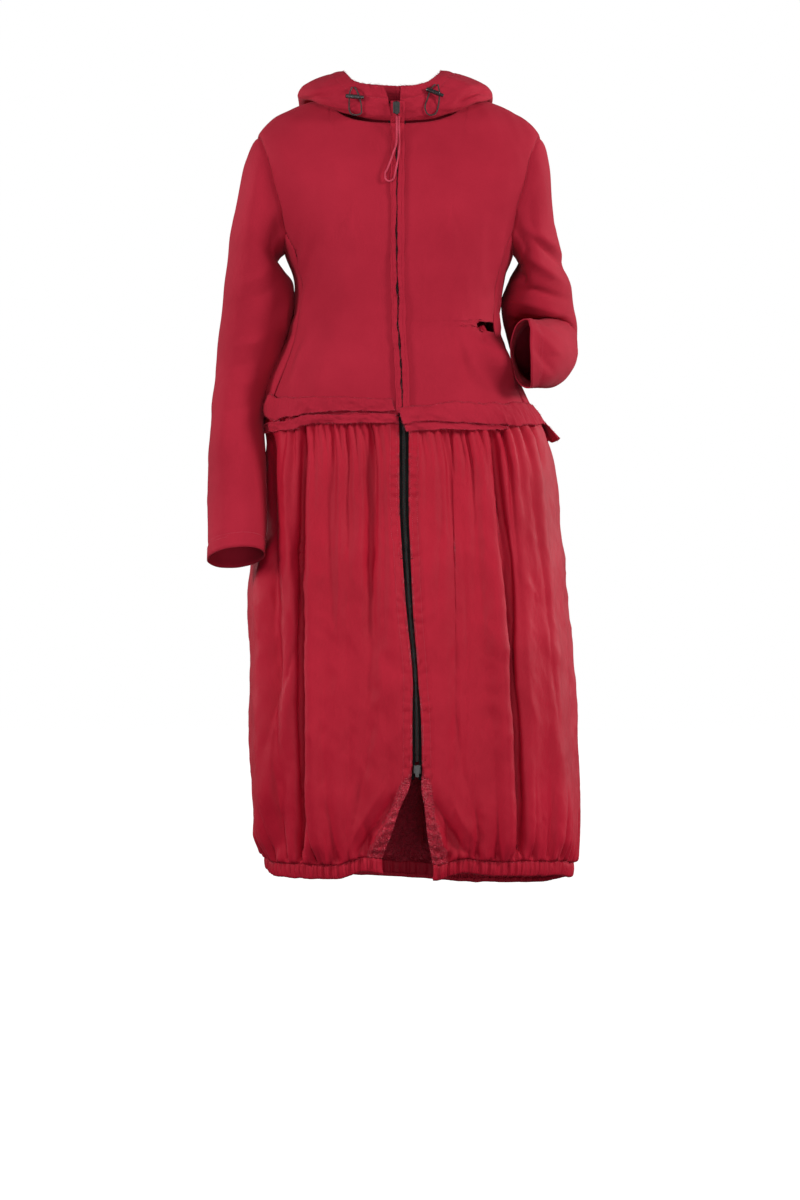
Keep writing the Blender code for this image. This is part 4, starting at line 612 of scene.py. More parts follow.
# cloth coordinates of a grid in metres: lengths added up along its middle row and its middle column
def clothUv(points, around=False):
    rows, columns = points.shape[:2]
    ring = np.concatenate([points, points[:, :1]], axis=1) if around else points
    u = lengthsAlong(ring[rows // 2])
    v = lengthsAlong(points[:, columns // 2])
    r = np.arange(rows - 1)[:, None]
    c = np.arange(len(u) - 1)[None, :]
    cornerSteps = ((0, 0), (1, 0), (1, 1), (0, 1))
    corner = [np.stack([u[c + i] + 0 * r, v[r + j] + 0 * c], axis=-1) for i, j in cornerSteps]
    return np.stack(corner, axis=2).reshape(-1, 2)


# a shell of cloth: a grid of points on its outer side, given its thickness inwards
def clothShell(name, points, look, thick, around=False, flip=False):
    rows, columns = points.shape[:2]
    faces = gridFaces(rows, columns, around)
    uv = clothUv(points, around).reshape(-1, 4, 2)
    if flip:
        faces = faces[:, ::-1]
        uv = uv[:, ::-1]
    thing = meshObject(name, points, faces, look, uv)
    wall = thing.modifiers.new("thickness", "SOLIDIFY")
    wall.thickness = thick
    wall.offset = -1
    return thing


# many copies of one small shape: each point of the shape is carried by the three directions of its copy
def copies(shape, shapeFaces, origins, axisA, axisB, axisC):
    points = (
        origins[:, None, :]
        + shape[None, :, :1] * axisA[:, None, :]
        + shape[None, :, 1:2] * axisB[:, None, :]
        + shape[None, :, 2:] * axisC[:, None, :]
    )
    shift = (np.arange(len(origins)) * len(shape))[:, None, None]
    return points.reshape(-1, 3), (shapeFaces[None] + shift).reshape(-1, shapeFaces.shape[1])


# the points and faces of several shapes put together, each one's faces moved on past the points before it
def joined(parts):
    starts = np.cumsum([0] + [len(points) for points, faces in parts[:-1]])
    return np.concatenate([p for p, f in parts]), np.concatenate([f + start for (p, f), start in zip(parts, starts)])


def unit(v):
    return v / np.maximum(np.linalg.norm(v, axis=-1, keepdims=True), 1e-12)


# smooth random heights from -1 to 1: a random number at every whole place, blended by the smooth step between
def noise(x, y, seed=0):
    def corner(a, b):
        n = np.sin(a * 127.1 + b * 311.7 + seed * 74.7) * 43758.5453
        return (n - np.floor(n)) * 2 - 1

    xi, yi = np.floor(x), np.floor(y)
    tx, ty = step(x - xi), step(y - yi)
    low = corner(xi, yi) * (1 - tx) + corner(xi + 1, yi) * tx
    high = corner(xi, yi + 1) * (1 - tx) + corner(xi + 1, yi + 1) * tx
    return low * (1 - ty) + high * ty


# crumpled cloth: sharp creases where smooth noise crosses zero, at three sizes
def crumple(x, y, size, seed=0):
    total = 0
    for k, share in ((1, 1.0), (2.1, 0.5), (4.3, 0.25)):
        turned = x * np.cos(k) - y * np.sin(k), x * np.sin(k) + y * np.cos(k)
        total = total + share * (0.5 - np.abs(noise(turned[0] * k / size, turned[1] * k / size, seed + k)))
    return total


# distance from a line of straight runs, and the share of its length at the nearest place
def lineDistance(x, z, line):
    steps = np.linalg.norm(np.diff(line, axis=0), axis=1)
    start = np.concatenate([[0], np.cumsum(steps)]) / steps.sum()
    best = np.full(x.shape, 1e3)
    share = np.zeros(x.shape)
    for k in range(len(line) - 1):
        run = line[k + 1] - line[k]
        t = np.clip(((x - line[k, 0]) * run[0] + (z - line[k, 1]) * run[1]) / (run @ run), 0, 1)
        d = np.hypot(x - line[k, 0] - t * run[0], z - line[k, 1] - t * run[1])
        nearer = d < best
        best = np.where(nearer, d, best)
        share = np.where(nearer, start[k] + t * (start[k + 1] - start[k]), share)
    return best, share


# soft creases, listed one by one: each is a bell across a line on the picture, fading at its ends, on the front or
# the back. A row is the width and the height in millimetres (below 0 is a trough), then the line's points as x, y, x,
# y. A power under 2 makes the middle of the bell sharp.
def creases(points, away, front=(), back=(), power=2.0):
    out = np.zeros(points.shape[:2])
    x, z = points[..., 0], points[..., 2]
    for facing, row in [(1, row) for row in front] + [(-1, row) for row in back]:
        d, t = lineDistance(x, z, fromPicture(np.reshape(row[2:], (-1, 2))))
        ends = np.sin(np.pi * np.clip(t, 0.02, 0.98)) ** 0.6
        near = step(0.3 - 1.6 * facing * away[..., 1])
        out += near * ends * row[1] * 0.001 * bell(d, 0, row[0] * 0.001, power)
    return out


# cloth turned down into a seam: a narrow hollow beside an edge
def seamRoll(distance, depth=0.0012, wide=0.0028):
    return -depth * bell(distance, 0, wide)


# distances of a grid's points from its first or last column or row
def edgeDistance(points, axis, last=False):
    steps = np.linalg.norm(np.diff(points, axis=axis), axis=-1)
    if last:
        steps = np.flip(steps, axis=axis)
    total = np.cumsum(steps, axis=axis)
    pad = np.zeros_like(np.take(total, [0], axis=axis))
    total = np.concatenate([pad, total], axis=axis)
    return np.flip(total, axis=axis) if last else total


# finishes
# each input of a node is set to a value, or fed by another node's output
def feed(look, node, inputs):
    for key, value in inputs.items():
        if isinstance(value, bpy.types.NodeSocket):
            look.node_tree.links.new(value, node.inputs[key])
        else:
            node.inputs[key].default_value = value
    return node


def addNode(look, kind, inputs):
    return feed(look, look.node_tree.nodes.new("ShaderNode" + kind), inputs)


# two colours blended by a value, between two places on its scale
def addRamp(look, factor, s, low, high):
    ramp = addNode(look, "ValToRGB", {"Fac": factor})
    for k, place, shade in ((0, low, "dark"), (1, high, "light")):
        ramp.color_ramp.elements[k].position = place
        ramp.color_ramp.elements[k].color = (*s[shade], 1)
    return ramp.outputs["Color"]


# a woven or knitted cloth: threads both ways from the cloth's own coordinates, uneven dye, and soft crumpling
def clothFinish(name, s):
    look = bpy.data.materials.new(name)
    look.use_nodes = True
    coords = addNode(look, "TexCoord", {}).outputs
    threads = []
    for direction in "XY":
        wave = addNode(look, "TexWave", {
            "Scale": 0.314 / s["thread" + direction], "Distortion": s["unevenThreads"], "Detail": 1,
            "Detail Scale": 0.2, "Vector": coords["UV"]})
        wave.bands_direction = direction
        threads.append(wave.outputs["Fac"])
    weave = addNode(look, "Math", {0: threads[0], 1: threads[1]})
    weave.operation = "ADD"
    cloudy = addNode(look, "TexNoise", {"Scale": s["cloudScale"], "Detail": 5, "Vector": coords["Object"]})
    fibres = addNode(look, "TexNoise", {"Scale": s["fibreScale"], "Detail": 3, "Vector": coords["Object"]})
    mixed = addNode(look, "Math", {0: fibres.outputs["Fac"], 1: s["fibreShare"], 2: cloudy.outputs["Fac"]})
    mixed.operation = "MULTIPLY_ADD"
    half = 0.5 * s["fibreShare"]
    colour = addRamp(look, mixed.outputs["Value"], s, 0.35 + half * 0.35, 0.70 + half)
    crush = addNode(look, "TexNoise", {
        "Scale": s["crushScale"], "Detail": 4, "Distortion": s["crushTwist"], "Vector": coords["Object"]})
    crushBump = addNode(look, "Bump", {
        "Strength": s["crushStrength"], "Distance": s["crushDepth"], "Height": crush.outputs["Fac"]})
    weaveBump = addNode(look, "Bump", {
        "Strength": s["weaveStrength"], "Distance": s["weaveDepth"], "Height": weave.outputs["Value"],
        "Normal": crushBump.outputs["Normal"]})
    feed(look, look.node_tree.nodes["Principled BSDF"], {
        "Base Color": colour, "Roughness": s["roughness"], "Specular IOR Level": s["specular"],
        "Sheen Weight": s["sheen"], "Sheen Roughness": s["sheenRoughness"], "Sheen Tint": (*s["sheenTint"], 1),
        "Normal": weaveBump.outputs["Normal"]})
    return look


# hard plastic or metal: one colour with fine grain and worn, smoother places
def hardFinish(name, s):
    look = bpy.data.materials.new(name)
    look.use_nodes = True
    coords = addNode(look, "TexCoord", {}).outputs
    grain = addNode(look, "TexNoise", {"Scale": s["grainScale"], "Detail": 4, "Vector": coords["Object"]})
    rough = addNode(look, "MapRange", {
        "Value": grain.outputs["Fac"], "From Min": 0.3, "From Max": 0.7, "To Min": s["smoothest"],
        "To Max": s["roughest"]})
    bump = addNode(look, "Bump", {"Strength": s["bump"], "Distance": 0.00005, "Height": grain.outputs["Fac"]})
    feed(look, look.node_tree.nodes["Principled BSDF"], {
        "Base Color": addRamp(look, grain.outputs["Fac"], s, 0.35, 0.75), "Metallic": s["metal"],
        "Coat Weight": s["coat"], "Roughness": rough.outputs["Result"], "Normal": bump.outputs["Normal"]})
    return look


cottonLook = {
    "dark": (0.318, 0.0042, 0.0175), "light": (0.420, 0.0085, 0.0275),
    "roughness": 0.58, "sheen": 0.03, "sheenRoughness": 0.30, "sheenTint": (1.0, 0.30, 0.36), "specular": 0.14,
    "threadX": 0.00045, "threadY": 0.00045, "unevenThreads": 0.4, "weaveStrength": 0.4, "weaveDepth": 0.00006,
    "cloudScale": 7, "fibreScale": 700, "fibreShare": 0.35,
    "crushScale": 55, "crushTwist": 0.8, "crushStrength": 0.35, "crushDepth": 0.0010,
}
# The yarn's light colour is a paler pink than the cloth. It is painted highlight, standing in for the light that
# frayed raw edges and their loose threads catch. The zip tape and the cord set colours of their own.
yarnLook = {
    "dark": (0.330, 0.0120, 0.030), "light": (0.560, 0.0600, 0.105),
    "roughness": 0.80, "sheen": 0.25, "sheenRoughness": 0.4, "sheenTint": (1.0, 0.5, 0.55), "specular": 0.2,
    "threadX": 0.0004, "threadY": 0.0004, "unevenThreads": 0.2, "weaveStrength": 0.3, "weaveDepth": 0.00004,
    "cloudScale": 40, "fibreScale": 1500, "fibreShare": 0.5,
    "crushScale": 200, "crushTwist": 0.2, "crushStrength": 0.2, "crushDepth": 0.0002,
}
skirtFinish = clothFinish("darkRedCrispCotton", cottonLook)
# paler thread: painted highlight on the loose threads, the stitches and the rope pull
paintedHighlightThreadFinish = clothFinish("darkRedThreadPaintedHighlight", yarnLook)
jerseyFinish = clothFinish("darkRedJersey", cottonLook | {
    "dark": (0.300, 0.0085, 0.0235), "light": (0.390, 0.0150, 0.0350),
    "roughness": 0.88, "sheen": 0.06, "sheenRoughness": 0.40,
    "threadX": 0.0009, "threadY": 0.0013, "unevenThreads": 0.6, "weaveStrength": 0.5, "weaveDepth": 0.00012,
    "cloudScale": 9, "fibreScale": 900, "fibreShare": 0.5,
    "crushScale": 28, "crushTwist": 0.3, "crushStrength": 0.25,
})
crinkledFinish = clothFinish("crinkledDarkRedCotton", cottonLook | {
    "dark": (0.230, 0.0025, 0.0120), "light": (0.500, 0.0140, 0.0400),
    "roughness": 0.45, "sheen": 0.04, "sheenTint": (1.0, 0.45, 0.50), "specular": 0.35,
    "cloudScale": 210, "fibreScale": 500, "fibreShare": 0.5,
    "crushScale": 240, "crushTwist": 1.4, "crushStrength": 1.0, "crushDepth": 0.0042,
})
tapeFinish = clothFinish("blackZipTape", yarnLook | {
    "dark": (0.003, 0.003, 0.003), "light": (0.008, 0.0075, 0.0075),
    "roughness": 0.90, "sheen": 0.0, "sheenTint": (0.6, 0.6, 0.6), "specular": 0.06,
    "threadX": 0.0006, "threadY": 0.0012, "weaveStrength": 0.8, "weaveDepth": 0.00012,
    "cloudScale": 30, "fibreScale": 900, "fibreShare": 0.4, "crushScale": 60, "crushDepth": 0.0004,
})
cordFinish = clothFinish("darkBraidedCord", yarnLook | {
    "dark": (0.020, 0.014, 0.014), "light": (0.060, 0.045, 0.045),
    "roughness": 0.75, "sheen": 0.2, "sheenTint": (0.8, 0.7, 0.7), "specular": 0.25,
    "threadX": 0.0006, "threadY": 0.0006, "weaveStrength": 0.9, "weaveDepth": 0.00015,
    "cloudScale": 60, "fibreScale": 1200,
})
toothFinish = hardFinish("blackMouldedTeeth", {
    "dark": (0.004, 0.004, 0.004), "light": (0.010, 0.010, 0.010), "metal": 0.0, "coat": 0.0,
    "grainScale": 900, "smoothest": 0.38, "roughest": 0.6, "bump": 0.3,
})
metalFinish = hardFinish("blackEnamelledMetal", {
    "dark": (0.006, 0.006, 0.006), "light": (0.035, 0.034, 0.034), "metal": 0.15, "coat": 0.05,
    "grainScale": 420, "smoothest": 0.42, "roughest": 0.65, "bump": 0.25,
})
lockFinish = hardFinish("blackGlossPlastic", {
    "dark": (0.008, 0.008, 0.009), "light": (0.022, 0.022, 0.024), "metal": 0.0, "coat": 0.6,
    "grainScale": 500, "smoothest": 0.14, "roughest": 0.32, "bump": 0.15,
})
print("finishes made")


# cords
# a twisted cord: a ring carried along a route, its radius swelling once for each strand, the swelling turning as
# it goes along
def twistedCord(name, route, s, look):
    wide, sides = s["wide"], s["sides"]
    length = lengthsAlong(route)
    at = np.linspace(0, length[-1], int(length[-1] / s["spacing"]))
    line = np.stack([smooth(at, length, route[:, k]) for k in range(3)], axis=-1)
    along = unit(np.gradient(line, axis=0))
    first = unit(np.cross(along, np.array([0.0, 1.0, 0.0])))
    second = np.cross(along, first)
    turn = np.linspace(0, 2 * np.pi, sides, endpoint=False)[None, :]
    swell = np.abs(np.cos(s["strands"] / 2 * turn + np.pi * at[:, None] * s["strands"] / s["pitch"]))
    radius = wide / 2 * (1 - s["groove"] + s["groove"] * swell)
    for fromEnd in (at, at[-1] - at):  # both ends are rounded off
        radius = radius * np.sqrt(np.clip(1 - np.clip(1 - fromEnd / (wide / 2), 0, 1) ** 2, 0.05, 1))[:, None]
    spokes = np.cos(turn)[..., None] * first[:, None] + np.sin(turn)[..., None] * second[:, None]
    ring = line[:, None] + radius[..., None] * spokes
    rows = len(line)
    quads = gridFaces(rows, sides, True)
    points = np.concatenate([ring.reshape(-1, 3), line[:1], line[-1:]])
    k = np.arange(sides)
    lastRow = (rows - 1) * sides
    start = np.stack([(k + 1) % sides, k, np.full(sides, rows * sides)], axis=-1)
    end = np.stack([lastRow + k, lastRow + (k + 1) % sides, np.full(sides, rows * sides + 1)], axis=-1)
    u = np.arange(sides + 1) / sides * np.pi * wide
    cornerU = np.stack([u[:-1], u[1:], u[1:], u[:-1]], axis=-1)
    cornerV = np.stack([at[:-1], at[:-1], at[1:], at[1:]], axis=-1)
    uv = np.stack([np.tile(cornerU[None], (rows - 1, 1, 1)), np.tile(cornerV[:, None], (1, sides, 1))], axis=-1)
    uv = np.concatenate([uv.reshape(-1, 2), np.zeros((sides * 6, 2))])
    return meshObject(name, points, [quads, np.concatenate([start, end])], look, uv), line, length[-1]


def makeCord(name, corners, s, look, body, node):
    cord, line, length = twistedCord(name, evenRoute(corners, s["cornerSpacing"]), s, look)
    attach(cord, body)
    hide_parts(node)


ropePull = {
    "wide": 0.0028, "strands": 3, "pitch": 0.0088, "groove": 0.26,
    "sides": 24, "spacing": 0.0006, "cornerSpacing": 0.0072,
    "corners": [
        (-0.0033, -0.0919, -0.0352), (-0.0030, -0.0919, -0.0511), (-0.0033, -0.0961, -0.0704),
        (-0.0088, -0.1023, -0.0897), (-0.0152, -0.1067, -0.1076), (-0.0193, -0.1090, -0.1180),
        (-0.0171, -0.1109, -0.1250), (-0.0110, -0.1113, -0.1264), (-0.0061, -0.1094, -0.1187),
        (-0.0030, -0.1052, -0.1035), (-0.0003, -0.0997, -0.0869), (0.0003, -0.0931, -0.0704),
        (0.0000, -0.0887, -0.0511), (-0.0003, -0.0887, -0.0352),
    ],
}
lockLoops = {
    "wide": 0.0020, "strands": 8, "pitch": 0.0060, "groove": 0.12,
    "sides": 20, "spacing": 0.0005, "cornerSpacing": 0.0050,
    "right": [
        (-0.0640, -0.0668, 0.0055), (-0.0668, -0.0792, -0.0014), (-0.0679, -0.0815, -0.0087),
        (-0.0682, -0.0792, -0.0166), (-0.0684, -0.0741, -0.0248), (-0.0643, -0.0735, -0.0320),
        (-0.0577, -0.0750, -0.0334), (-0.0513, -0.0776, -0.0295), (-0.0516, -0.0791, -0.0207),
        (-0.0544, -0.0815, -0.0087), (-0.0571, -0.0801, -0.0014), (-0.0607, -0.0678, 0.0055),
    ],
    "left": [
        (0.0500, -0.0629, 0.0094), (0.0455, -0.0770, 0.0047), (0.0428, -0.0785, 0.0000),
        (0.0386, -0.0789, -0.0124), (0.0356, -0.0798, -0.0221), (0.0381, -0.0784, -0.0309),
        (0.0444, -0.0766, -0.0337), (0.0511, -0.0758, -0.0298), (0.0541, -0.0758, -0.0193),
        (0.0555, -0.0785, -0.0052), (0.0546, -0.0784, 0.0019), (0.0533, -0.0616, 0.0094),
    ],
}
makeCord("ropePull", ropePull["corners"], ropePull, paintedHighlightThreadFinish, "top_pull", "zip_pull_cord")
for side, word in bothSides:
    name = "hoodCord" + word.capitalize()
    makeCord(name, lockLoops[word], lockLoops, cordFinish, "garment", "cord_loop_" + word)
print("cords made")


# the garment's pieces
def onGarment(thing, nodes=(), body="garment"):
    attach(thing, body)
    if nodes:
        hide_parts(*nodes)
    return thing


# a shell of jersey whose outer side is an inner surface moved out by the cloth's thickness and its folds
def dressed(name, base, detail, outwardSign=None, around=False):
    away = gridNormals(base, around)
    if outwardSign is None:
        outwardSign = 1 if np.sum(away[..., :2] * base[..., :2]) > 0 else -1
    away = away * outwardSign
    points = base + (jerseyThick + detail(base, away))[..., None] * away
    return clothShell(name, points, jerseyFinish, jerseyThick, around, flip=outwardSign < 0), points, away


# the bodice
bodice = {
    "columns": 88,
    "backColumns": 100,
    "lowRows": 44,
    "highRows": 44,
    "softFolds": 0.0011,  # height of the faint unevenness of thick jersey
    "creaseShare": 1.7,  # every crease's height is multiplied by this
    "sagTop": -0.1012,  # level under which the open pocket's front edge sags
    "sagDeep": 0.0085,
    "sideAllowance": 0.016,  # share of the half width by which a side panel goes under the back
    "sideColumns": 44,
    "sideRows": 96,
    "sideFolds": 0.0014,
    "sideFlare": 0.0115,  # the right side panel stands out under the hanging sleeve
    # creases on the picture
    "rightCreases": [
        (7, 1.6, 312, 223, 306, 255, 300, 291), (5, -1.4, 303, 226, 298, 258, 295, 290),
        (9, 1.4, 332, 230, 314, 280, 296, 330), (6, -1.2, 323, 236, 306, 284, 293, 322),
        (6, 1.5, 311, 290, 307, 302, 302, 314), (9, 2.4, 313, 339, 306, 355, 300, 370, 293, 397),
        (6, -1.8, 304, 336, 296, 356, 289, 380), (12, 1.0, 330, 345, 322, 375, 318, 398),
        (14, 1.2, 272, 162, 292, 175, 320, 182), (10, -0.9, 283, 205, 300, 205, 322, 200),
        (36, 1.6, 340, 150, 342, 250, 350, 350), (32, 3.0, 345, 228, 352, 232, 360, 230),
        (14, -0.8, 376, 150, 378, 250, 384, 390),
    ],
    "leftCreases": [
        (9, 2.0, 454, 306, 462, 338, 469, 364, 480, 383, 493, 398),
        (8, -1.5, 446, 312, 453, 345, 462, 376, 474, 396), (5, -1.6, 481, 339, 483, 344, 484, 348),
        (8, 1.4, 500, 292, 492, 306, 480, 318), (5, -1.2, 508, 300, 500, 316, 490, 326),
        (8, 1.4, 498, 228, 500, 258, 496, 290), (6, -1.0, 488, 234, 487, 262, 484, 288),
        (14, 1.2, 527, 162, 505, 176, 480, 182), (36, 1.6, 456, 150, 456, 250, 450, 350),
        (32, 3.0, 440, 228, 448, 232, 456, 230), (14, -0.8, 424, 150, 424, 250, 420, 390),
    ],
    "backCreases": [
        (16, 2.0, 330, 150, 345, 210, 352, 280), (16, 2.0, 470, 150, 456, 210, 450, 285),
        (12, 1.8, 300, 240, 320, 300, 338, 370), (12, 1.6, 500, 245, 482, 305, 462, 372),
        (8, -1.5, 292, 262, 310, 322, 326, 385), (8, -1.5, 507, 268, 490, 325, 474, 388),
        (13, 1.6, 360, 330, 400, 338, 440, 331), (10, -1.4, 352, 352, 400, 361, 450, 352),
        (12, 1.6, 345, 376, 398, 386, 455, 377), (12, -1.0, 398, 190, 401, 260, 399, 320),
    ],
}
levelRows = np.unique(np.concatenate([
    np.linspace(waistDrop, 0, bodice["lowRows"]),
    np.linspace(0, shoulderLevel, bodice["highRows"]),
    mouthTable[:, 0], mouthTable[:, 0] + 0.0006, np.linspace(mouthTop - 0.009, mouthTop + 0.001, 9),
]))


# faint unevenness of thick cloth: smooth noise across a hand's width
def softJersey(points, seed):
    x, z = points[..., 0] + 0.6 * points[..., 1], points[..., 2]
    return bodice["softFolds"] * (noise(x / 0.035, z / 0.06, seed) + 0.5 * noise(x / 0.014, z / 0.03, seed + 1))


# a half front: columns from the zip's edge to the side seam, rows from the waist to the neckline and shoulder
def makeFront(side, word):
    tip = float(body("halfWidth", shoulderLevel) * body("frontSeam", shoulderLevel))
    spots = np.linspace(0.0055, tip, bodice["columns"])
    level = columnLevels(levelRows[:, None], neckLevel(spots, frontNeck)[None, :])
    z = torso(np.zeros_like(level), np.minimum(level, 0.6))[..., 2]
    start = ((frontLine(z) - body("centreX", level)) * side + 0.0058) / body("halfWidth", level)
    end = seamShare(side, levelRows)[:, None] - seamStep * (levelRows <= armholeLevel)[:, None]
    share = start + (end - start) * ((spots - spots[0]) / (tip - spots[0]))[None, :]
    base = front(side)(side * angleAt(share), level)
    if side > 0:  # the pocket mouth's front edge sags away from its upper end
        under = bodice["sagTop"] - level
        sag = step(under / 0.0012) * np.exp(-np.clip(under, 0, None) / 0.030)
        base[..., 2] -= bodice["sagDeep"] * sag * step((share - 0.70) / 0.10)

    def detail(points, away):
        sideEdge = seamRoll(edgeDistance(points, 1, last=True))
        topEdge = seamRoll(edgeDistance(points, 0, last=True), 0.0010)
        folds = bodice["creaseShare"] * creases(points, away, bodice[word + "Creases"])
        return folds + softJersey(points, side) + sideEdge + topEdge

    thing = dressed("bodiceFront" + word.capitalize(), base, detail)[0]
    onGarment(thing, ["bodice_front_" + word])


# a side panel: rows from the waist to the underarm, which rises towards its two seams
def makeSide(side, word):
    acrossPanel = np.linspace(0, 1, bodice["sideColumns"])[None, :]
    rise = np.linspace(0, 1, bodice["sideRows"])[:, None]
    level = waistDrop - waistDrop * rise + underarmRise * (2 * acrossPanel - 1) ** 2 * step((rise - 0.7) / 0.3)
    first = angleAt(body("frontSeam", level) + 0.0005)
    last = np.pi - angleAt(body("backSeam", level) - bodice["sideAllowance"])
    base = torso(side * (first + (last - first) * acrossPanel), level)

    def detail(points, away):
        y, z = points[..., 1], points[..., 2]
        edges = seamRoll(edgeDistance(points, 1)) + seamRoll(edgeDistance(points, 1, last=True), 0.0034, 0.0036)
        folds = bodice["sideFolds"] * np.sin(z / 0.0065 + 3 * noise(y / 0.03, z / 0.05, 7 + side))
        folds = folds * bell(z, -0.30, 0.05) * np.sin(np.pi * acrossPanel)
        flare = bodice["sideFlare"] * (side < 0) * np.sin(np.pi * acrossPanel) ** 0.7 * bell(z, -0.395, 0.048)
        return softJersey(points, 5 + side) + edges + folds + flare

    thing = dressed("bodiceSide" + word.capitalize(), base, detail)[0]
    onGarment(thing, ["bodice_side_" + word])


# the back: columns from side seam to side seam, rows from the waist to the neckline and shoulders
def makeBack():
    tip = float(body("halfWidth", shoulderLevel) * body("backSeam", shoulderLevel))
    spots = np.linspace(-tip, tip, bodice["backColumns"])
    rows = np.unique(np.concatenate([np.linspace(waistDrop, 0, 46), np.linspace(0, shoulderLevel, 46)]))
    level = columnLevels(rows[:, None], neckLevel(spots, backNeck)[None, :])
    share = (body("backSeam", rows)[:, None] - seamStep * (rows <= armholeLevel)[:, None]) * (spots / tip)[None, :]
    base = torso(np.pi - angleAt(share), level)

    def detail(points, away):
        edges = seamRoll(edgeDistance(points, 1)) + seamRoll(edgeDistance(points, 1, last=True))
        folds = bodice["creaseShare"] * creases(points, away, back=bodice["backCreases"])
        return folds + softJersey(points, 9) + edges + seamRoll(edgeDistance(points, 0, last=True), 0.0010)

    thing = dressed("bodiceBack", base, detail)[0]
    onGarment(thing, ["bodice_back"])


for side, word in bothSides:
    makeFront(side, word)
    makeSide(side, word)
makeBack()
print("bodice made")

# the sleeves
sleeves = {
    "rows": 132,
    "columns": 96,
    "waistPush": 0.0076,  # how far the hanging sleeve bulges towards the waist, and towards the skirt
    "skirtPush": 0.0068,
    "cuffReach": (-0.036, -0.003, 0),  # how much further the bent sleeve's nearer side goes
    "hem": 0.021,  # depth of the cuff's hem
    "soft": 0.0008,
    "right": {
        "creaseShare": 1.7,
        "table": sleeveRight,
        "creases": [
            (10, 1.6, 262, 160, 256, 200, 250, 240), (8, -1.0, 252, 150, 243, 190, 236, 240),
            (8, 1.6, 276, 262, 262, 280, 240, 288), (8, -1.5, 284, 275, 266, 296, 236, 306),
            (4, 2.2, 287, 300, 284, 318, 284, 336), (8, -1.6, 279, 300, 270, 330, 262, 352),
            (9, 1.8, 276, 330, 256, 344, 232, 348), (8, -1.5, 268, 352, 248, 366, 226, 370),
            (9, 1.6, 262, 375, 244, 386, 222, 388), (8, -1.2, 258, 402, 240, 412, 218, 410),
            (12, 1.2, 254, 430, 240, 470, 236, 510), (9, 1.0, 226, 400, 222, 450, 222, 500),
        ],
        "backCreases": [
            (12, 2.0, 276, 262, 256, 290, 232, 300), (9, -1.8, 284, 292, 258, 318, 230, 330),
            (11, 1.8, 270, 345, 246, 356, 222, 352), (10, -1.4, 264, 384, 242, 396, 218, 390),
            (14, 1.4, 250, 420, 238, 470, 232, 520),
        ],
    },
    "left": {
        "creaseShare": 2.3,
        "table": sleeveLeft,
        "creases": [
            (9, 1.5, 536, 160, 542, 195, 546, 230), (7, -1.2, 530, 200, 530, 222, 536, 246),
            (5, -3.2, 530, 239, 546, 252, 569, 271), (6, 2.6, 524, 232, 544, 243, 566, 258),
            (6, 2.6, 522, 252, 540, 268, 566, 286), (5, -3.0, 518, 269, 522, 278, 525, 286),
            (5, -2.4, 516, 290, 536, 292, 570, 300), (7, 2.2, 512, 300, 536, 306, 572, 318),
            (5, -1.8, 512, 312, 534, 320, 566, 338), (6, 1.5, 524, 330, 540, 342, 560, 360),
            (5, -1.2, 530, 350, 542, 364, 552, 376),
        ],
        "backCreases": [
            (9, 2.4, 515, 240, 540, 262, 566, 290), (7, -2.2, 513, 262, 536, 284, 560, 312),
            (10, 2.2, 514, 296, 536, 312, 562, 336), (12, 1.4, 528, 150, 540, 190, 548, 226),
        ],
    },
}


# closed line round an armhole in fine steps, with each point's share of the way round
def armholeLine(side):
    down = np.linspace(shoulderLevel, armholeLevel, 42)
    under = np.linspace(0, 1, 26)[1:-1]
    underLevel = underarmRise * (2 * under - 1) ** 2
    first = angleAt(body("frontSeam", underLevel))
    last = np.pi - angleAt(body("backSeam", underLevel))
    angle = np.concatenate([angleAt(body("frontSeam", down)), first + (last - first) * under,
                            np.pi - angleAt(body("backSeam", down))[:0:-1]])
    level = np.concatenate([down, underLevel, down[:0:-1]])
    line = torso(side * angle, level)
    steps = np.linalg.norm(np.diff(np.concatenate([line, line[:1]]), axis=0), axis=1)
    return line, np.concatenate([[0], np.cumsum(steps)])[:-1] / steps.sum()


# a sleeve: columns round it, rows from the armhole to the cuff, set a little closer at the armhole
def makeSleeve(side, word):
    s = sleeves[word]
    u, v = np.meshgrid(
        np.linspace(0, 1, sleeves["columns"], endpoint=False), np.linspace(0, 1, sleeves["rows"]) ** 1.06)
    base = sleeve(side, s["table"])(u, v)
    centre = base.mean(axis=1, keepdims=True)
    away = gridNormals(base, True)
    sign = 1 if np.sum(away[20:] * (base - centre)[20:]) > 0 else -1
    if side > 0:  # the nearer side of the bent sleeve's cuff reaches further over the pocket
        longer = step((v - 0.84) / 0.16) * np.clip(-sign * away[..., 1], 0, 1) ** 1.5
        base = base + longer[..., None] * np.array(sleeves["cuffReach"])

    def detail(points, away):
        z = points[..., 2]
        fromTop = edgeDistance(points, 0)
        fromCuff = edgeDistance(points, 0, last=True)
        soft = sleeves["soft"] * (noise(u * 9, v * 16, 20 + side) + 0.6 * noise(u * 20, v * 30, 21 + side))
        hem = -0.0009 * bell(fromCuff, sleeves["hem"], 0.0022) + 0.0006 * step((0.020 - fromCuff) / 0.003)
        folds = s["creaseShare"] * creases(points, away, s["creases"], s["backCreases"], 1.5)
        if side < 0:  # the cloth lies against the waist and the skirt here
            near = sleeves["waistPush"] * bell(z, -0.392, 0.050, 4) + sleeves["skirtPush"] * bell(z, -0.530, 0.105, 4)
            folds = folds + near * np.clip(away[..., 0], 0, 1)
        return folds * step(fromTop / 0.02) + soft * step(fromTop / 0.03) + hem + seamRoll(fromTop, 0.0014, 0.0035)

    thing, points, away = dressed("sleeve" + word.capitalize(), base, detail, sign, True)
    onGarment(thing, ["sleeve_" + word])
    return points, away


sleevePoints = {side: makeSleeve(side, word) for side, word in bothSides}
print("sleeves made")

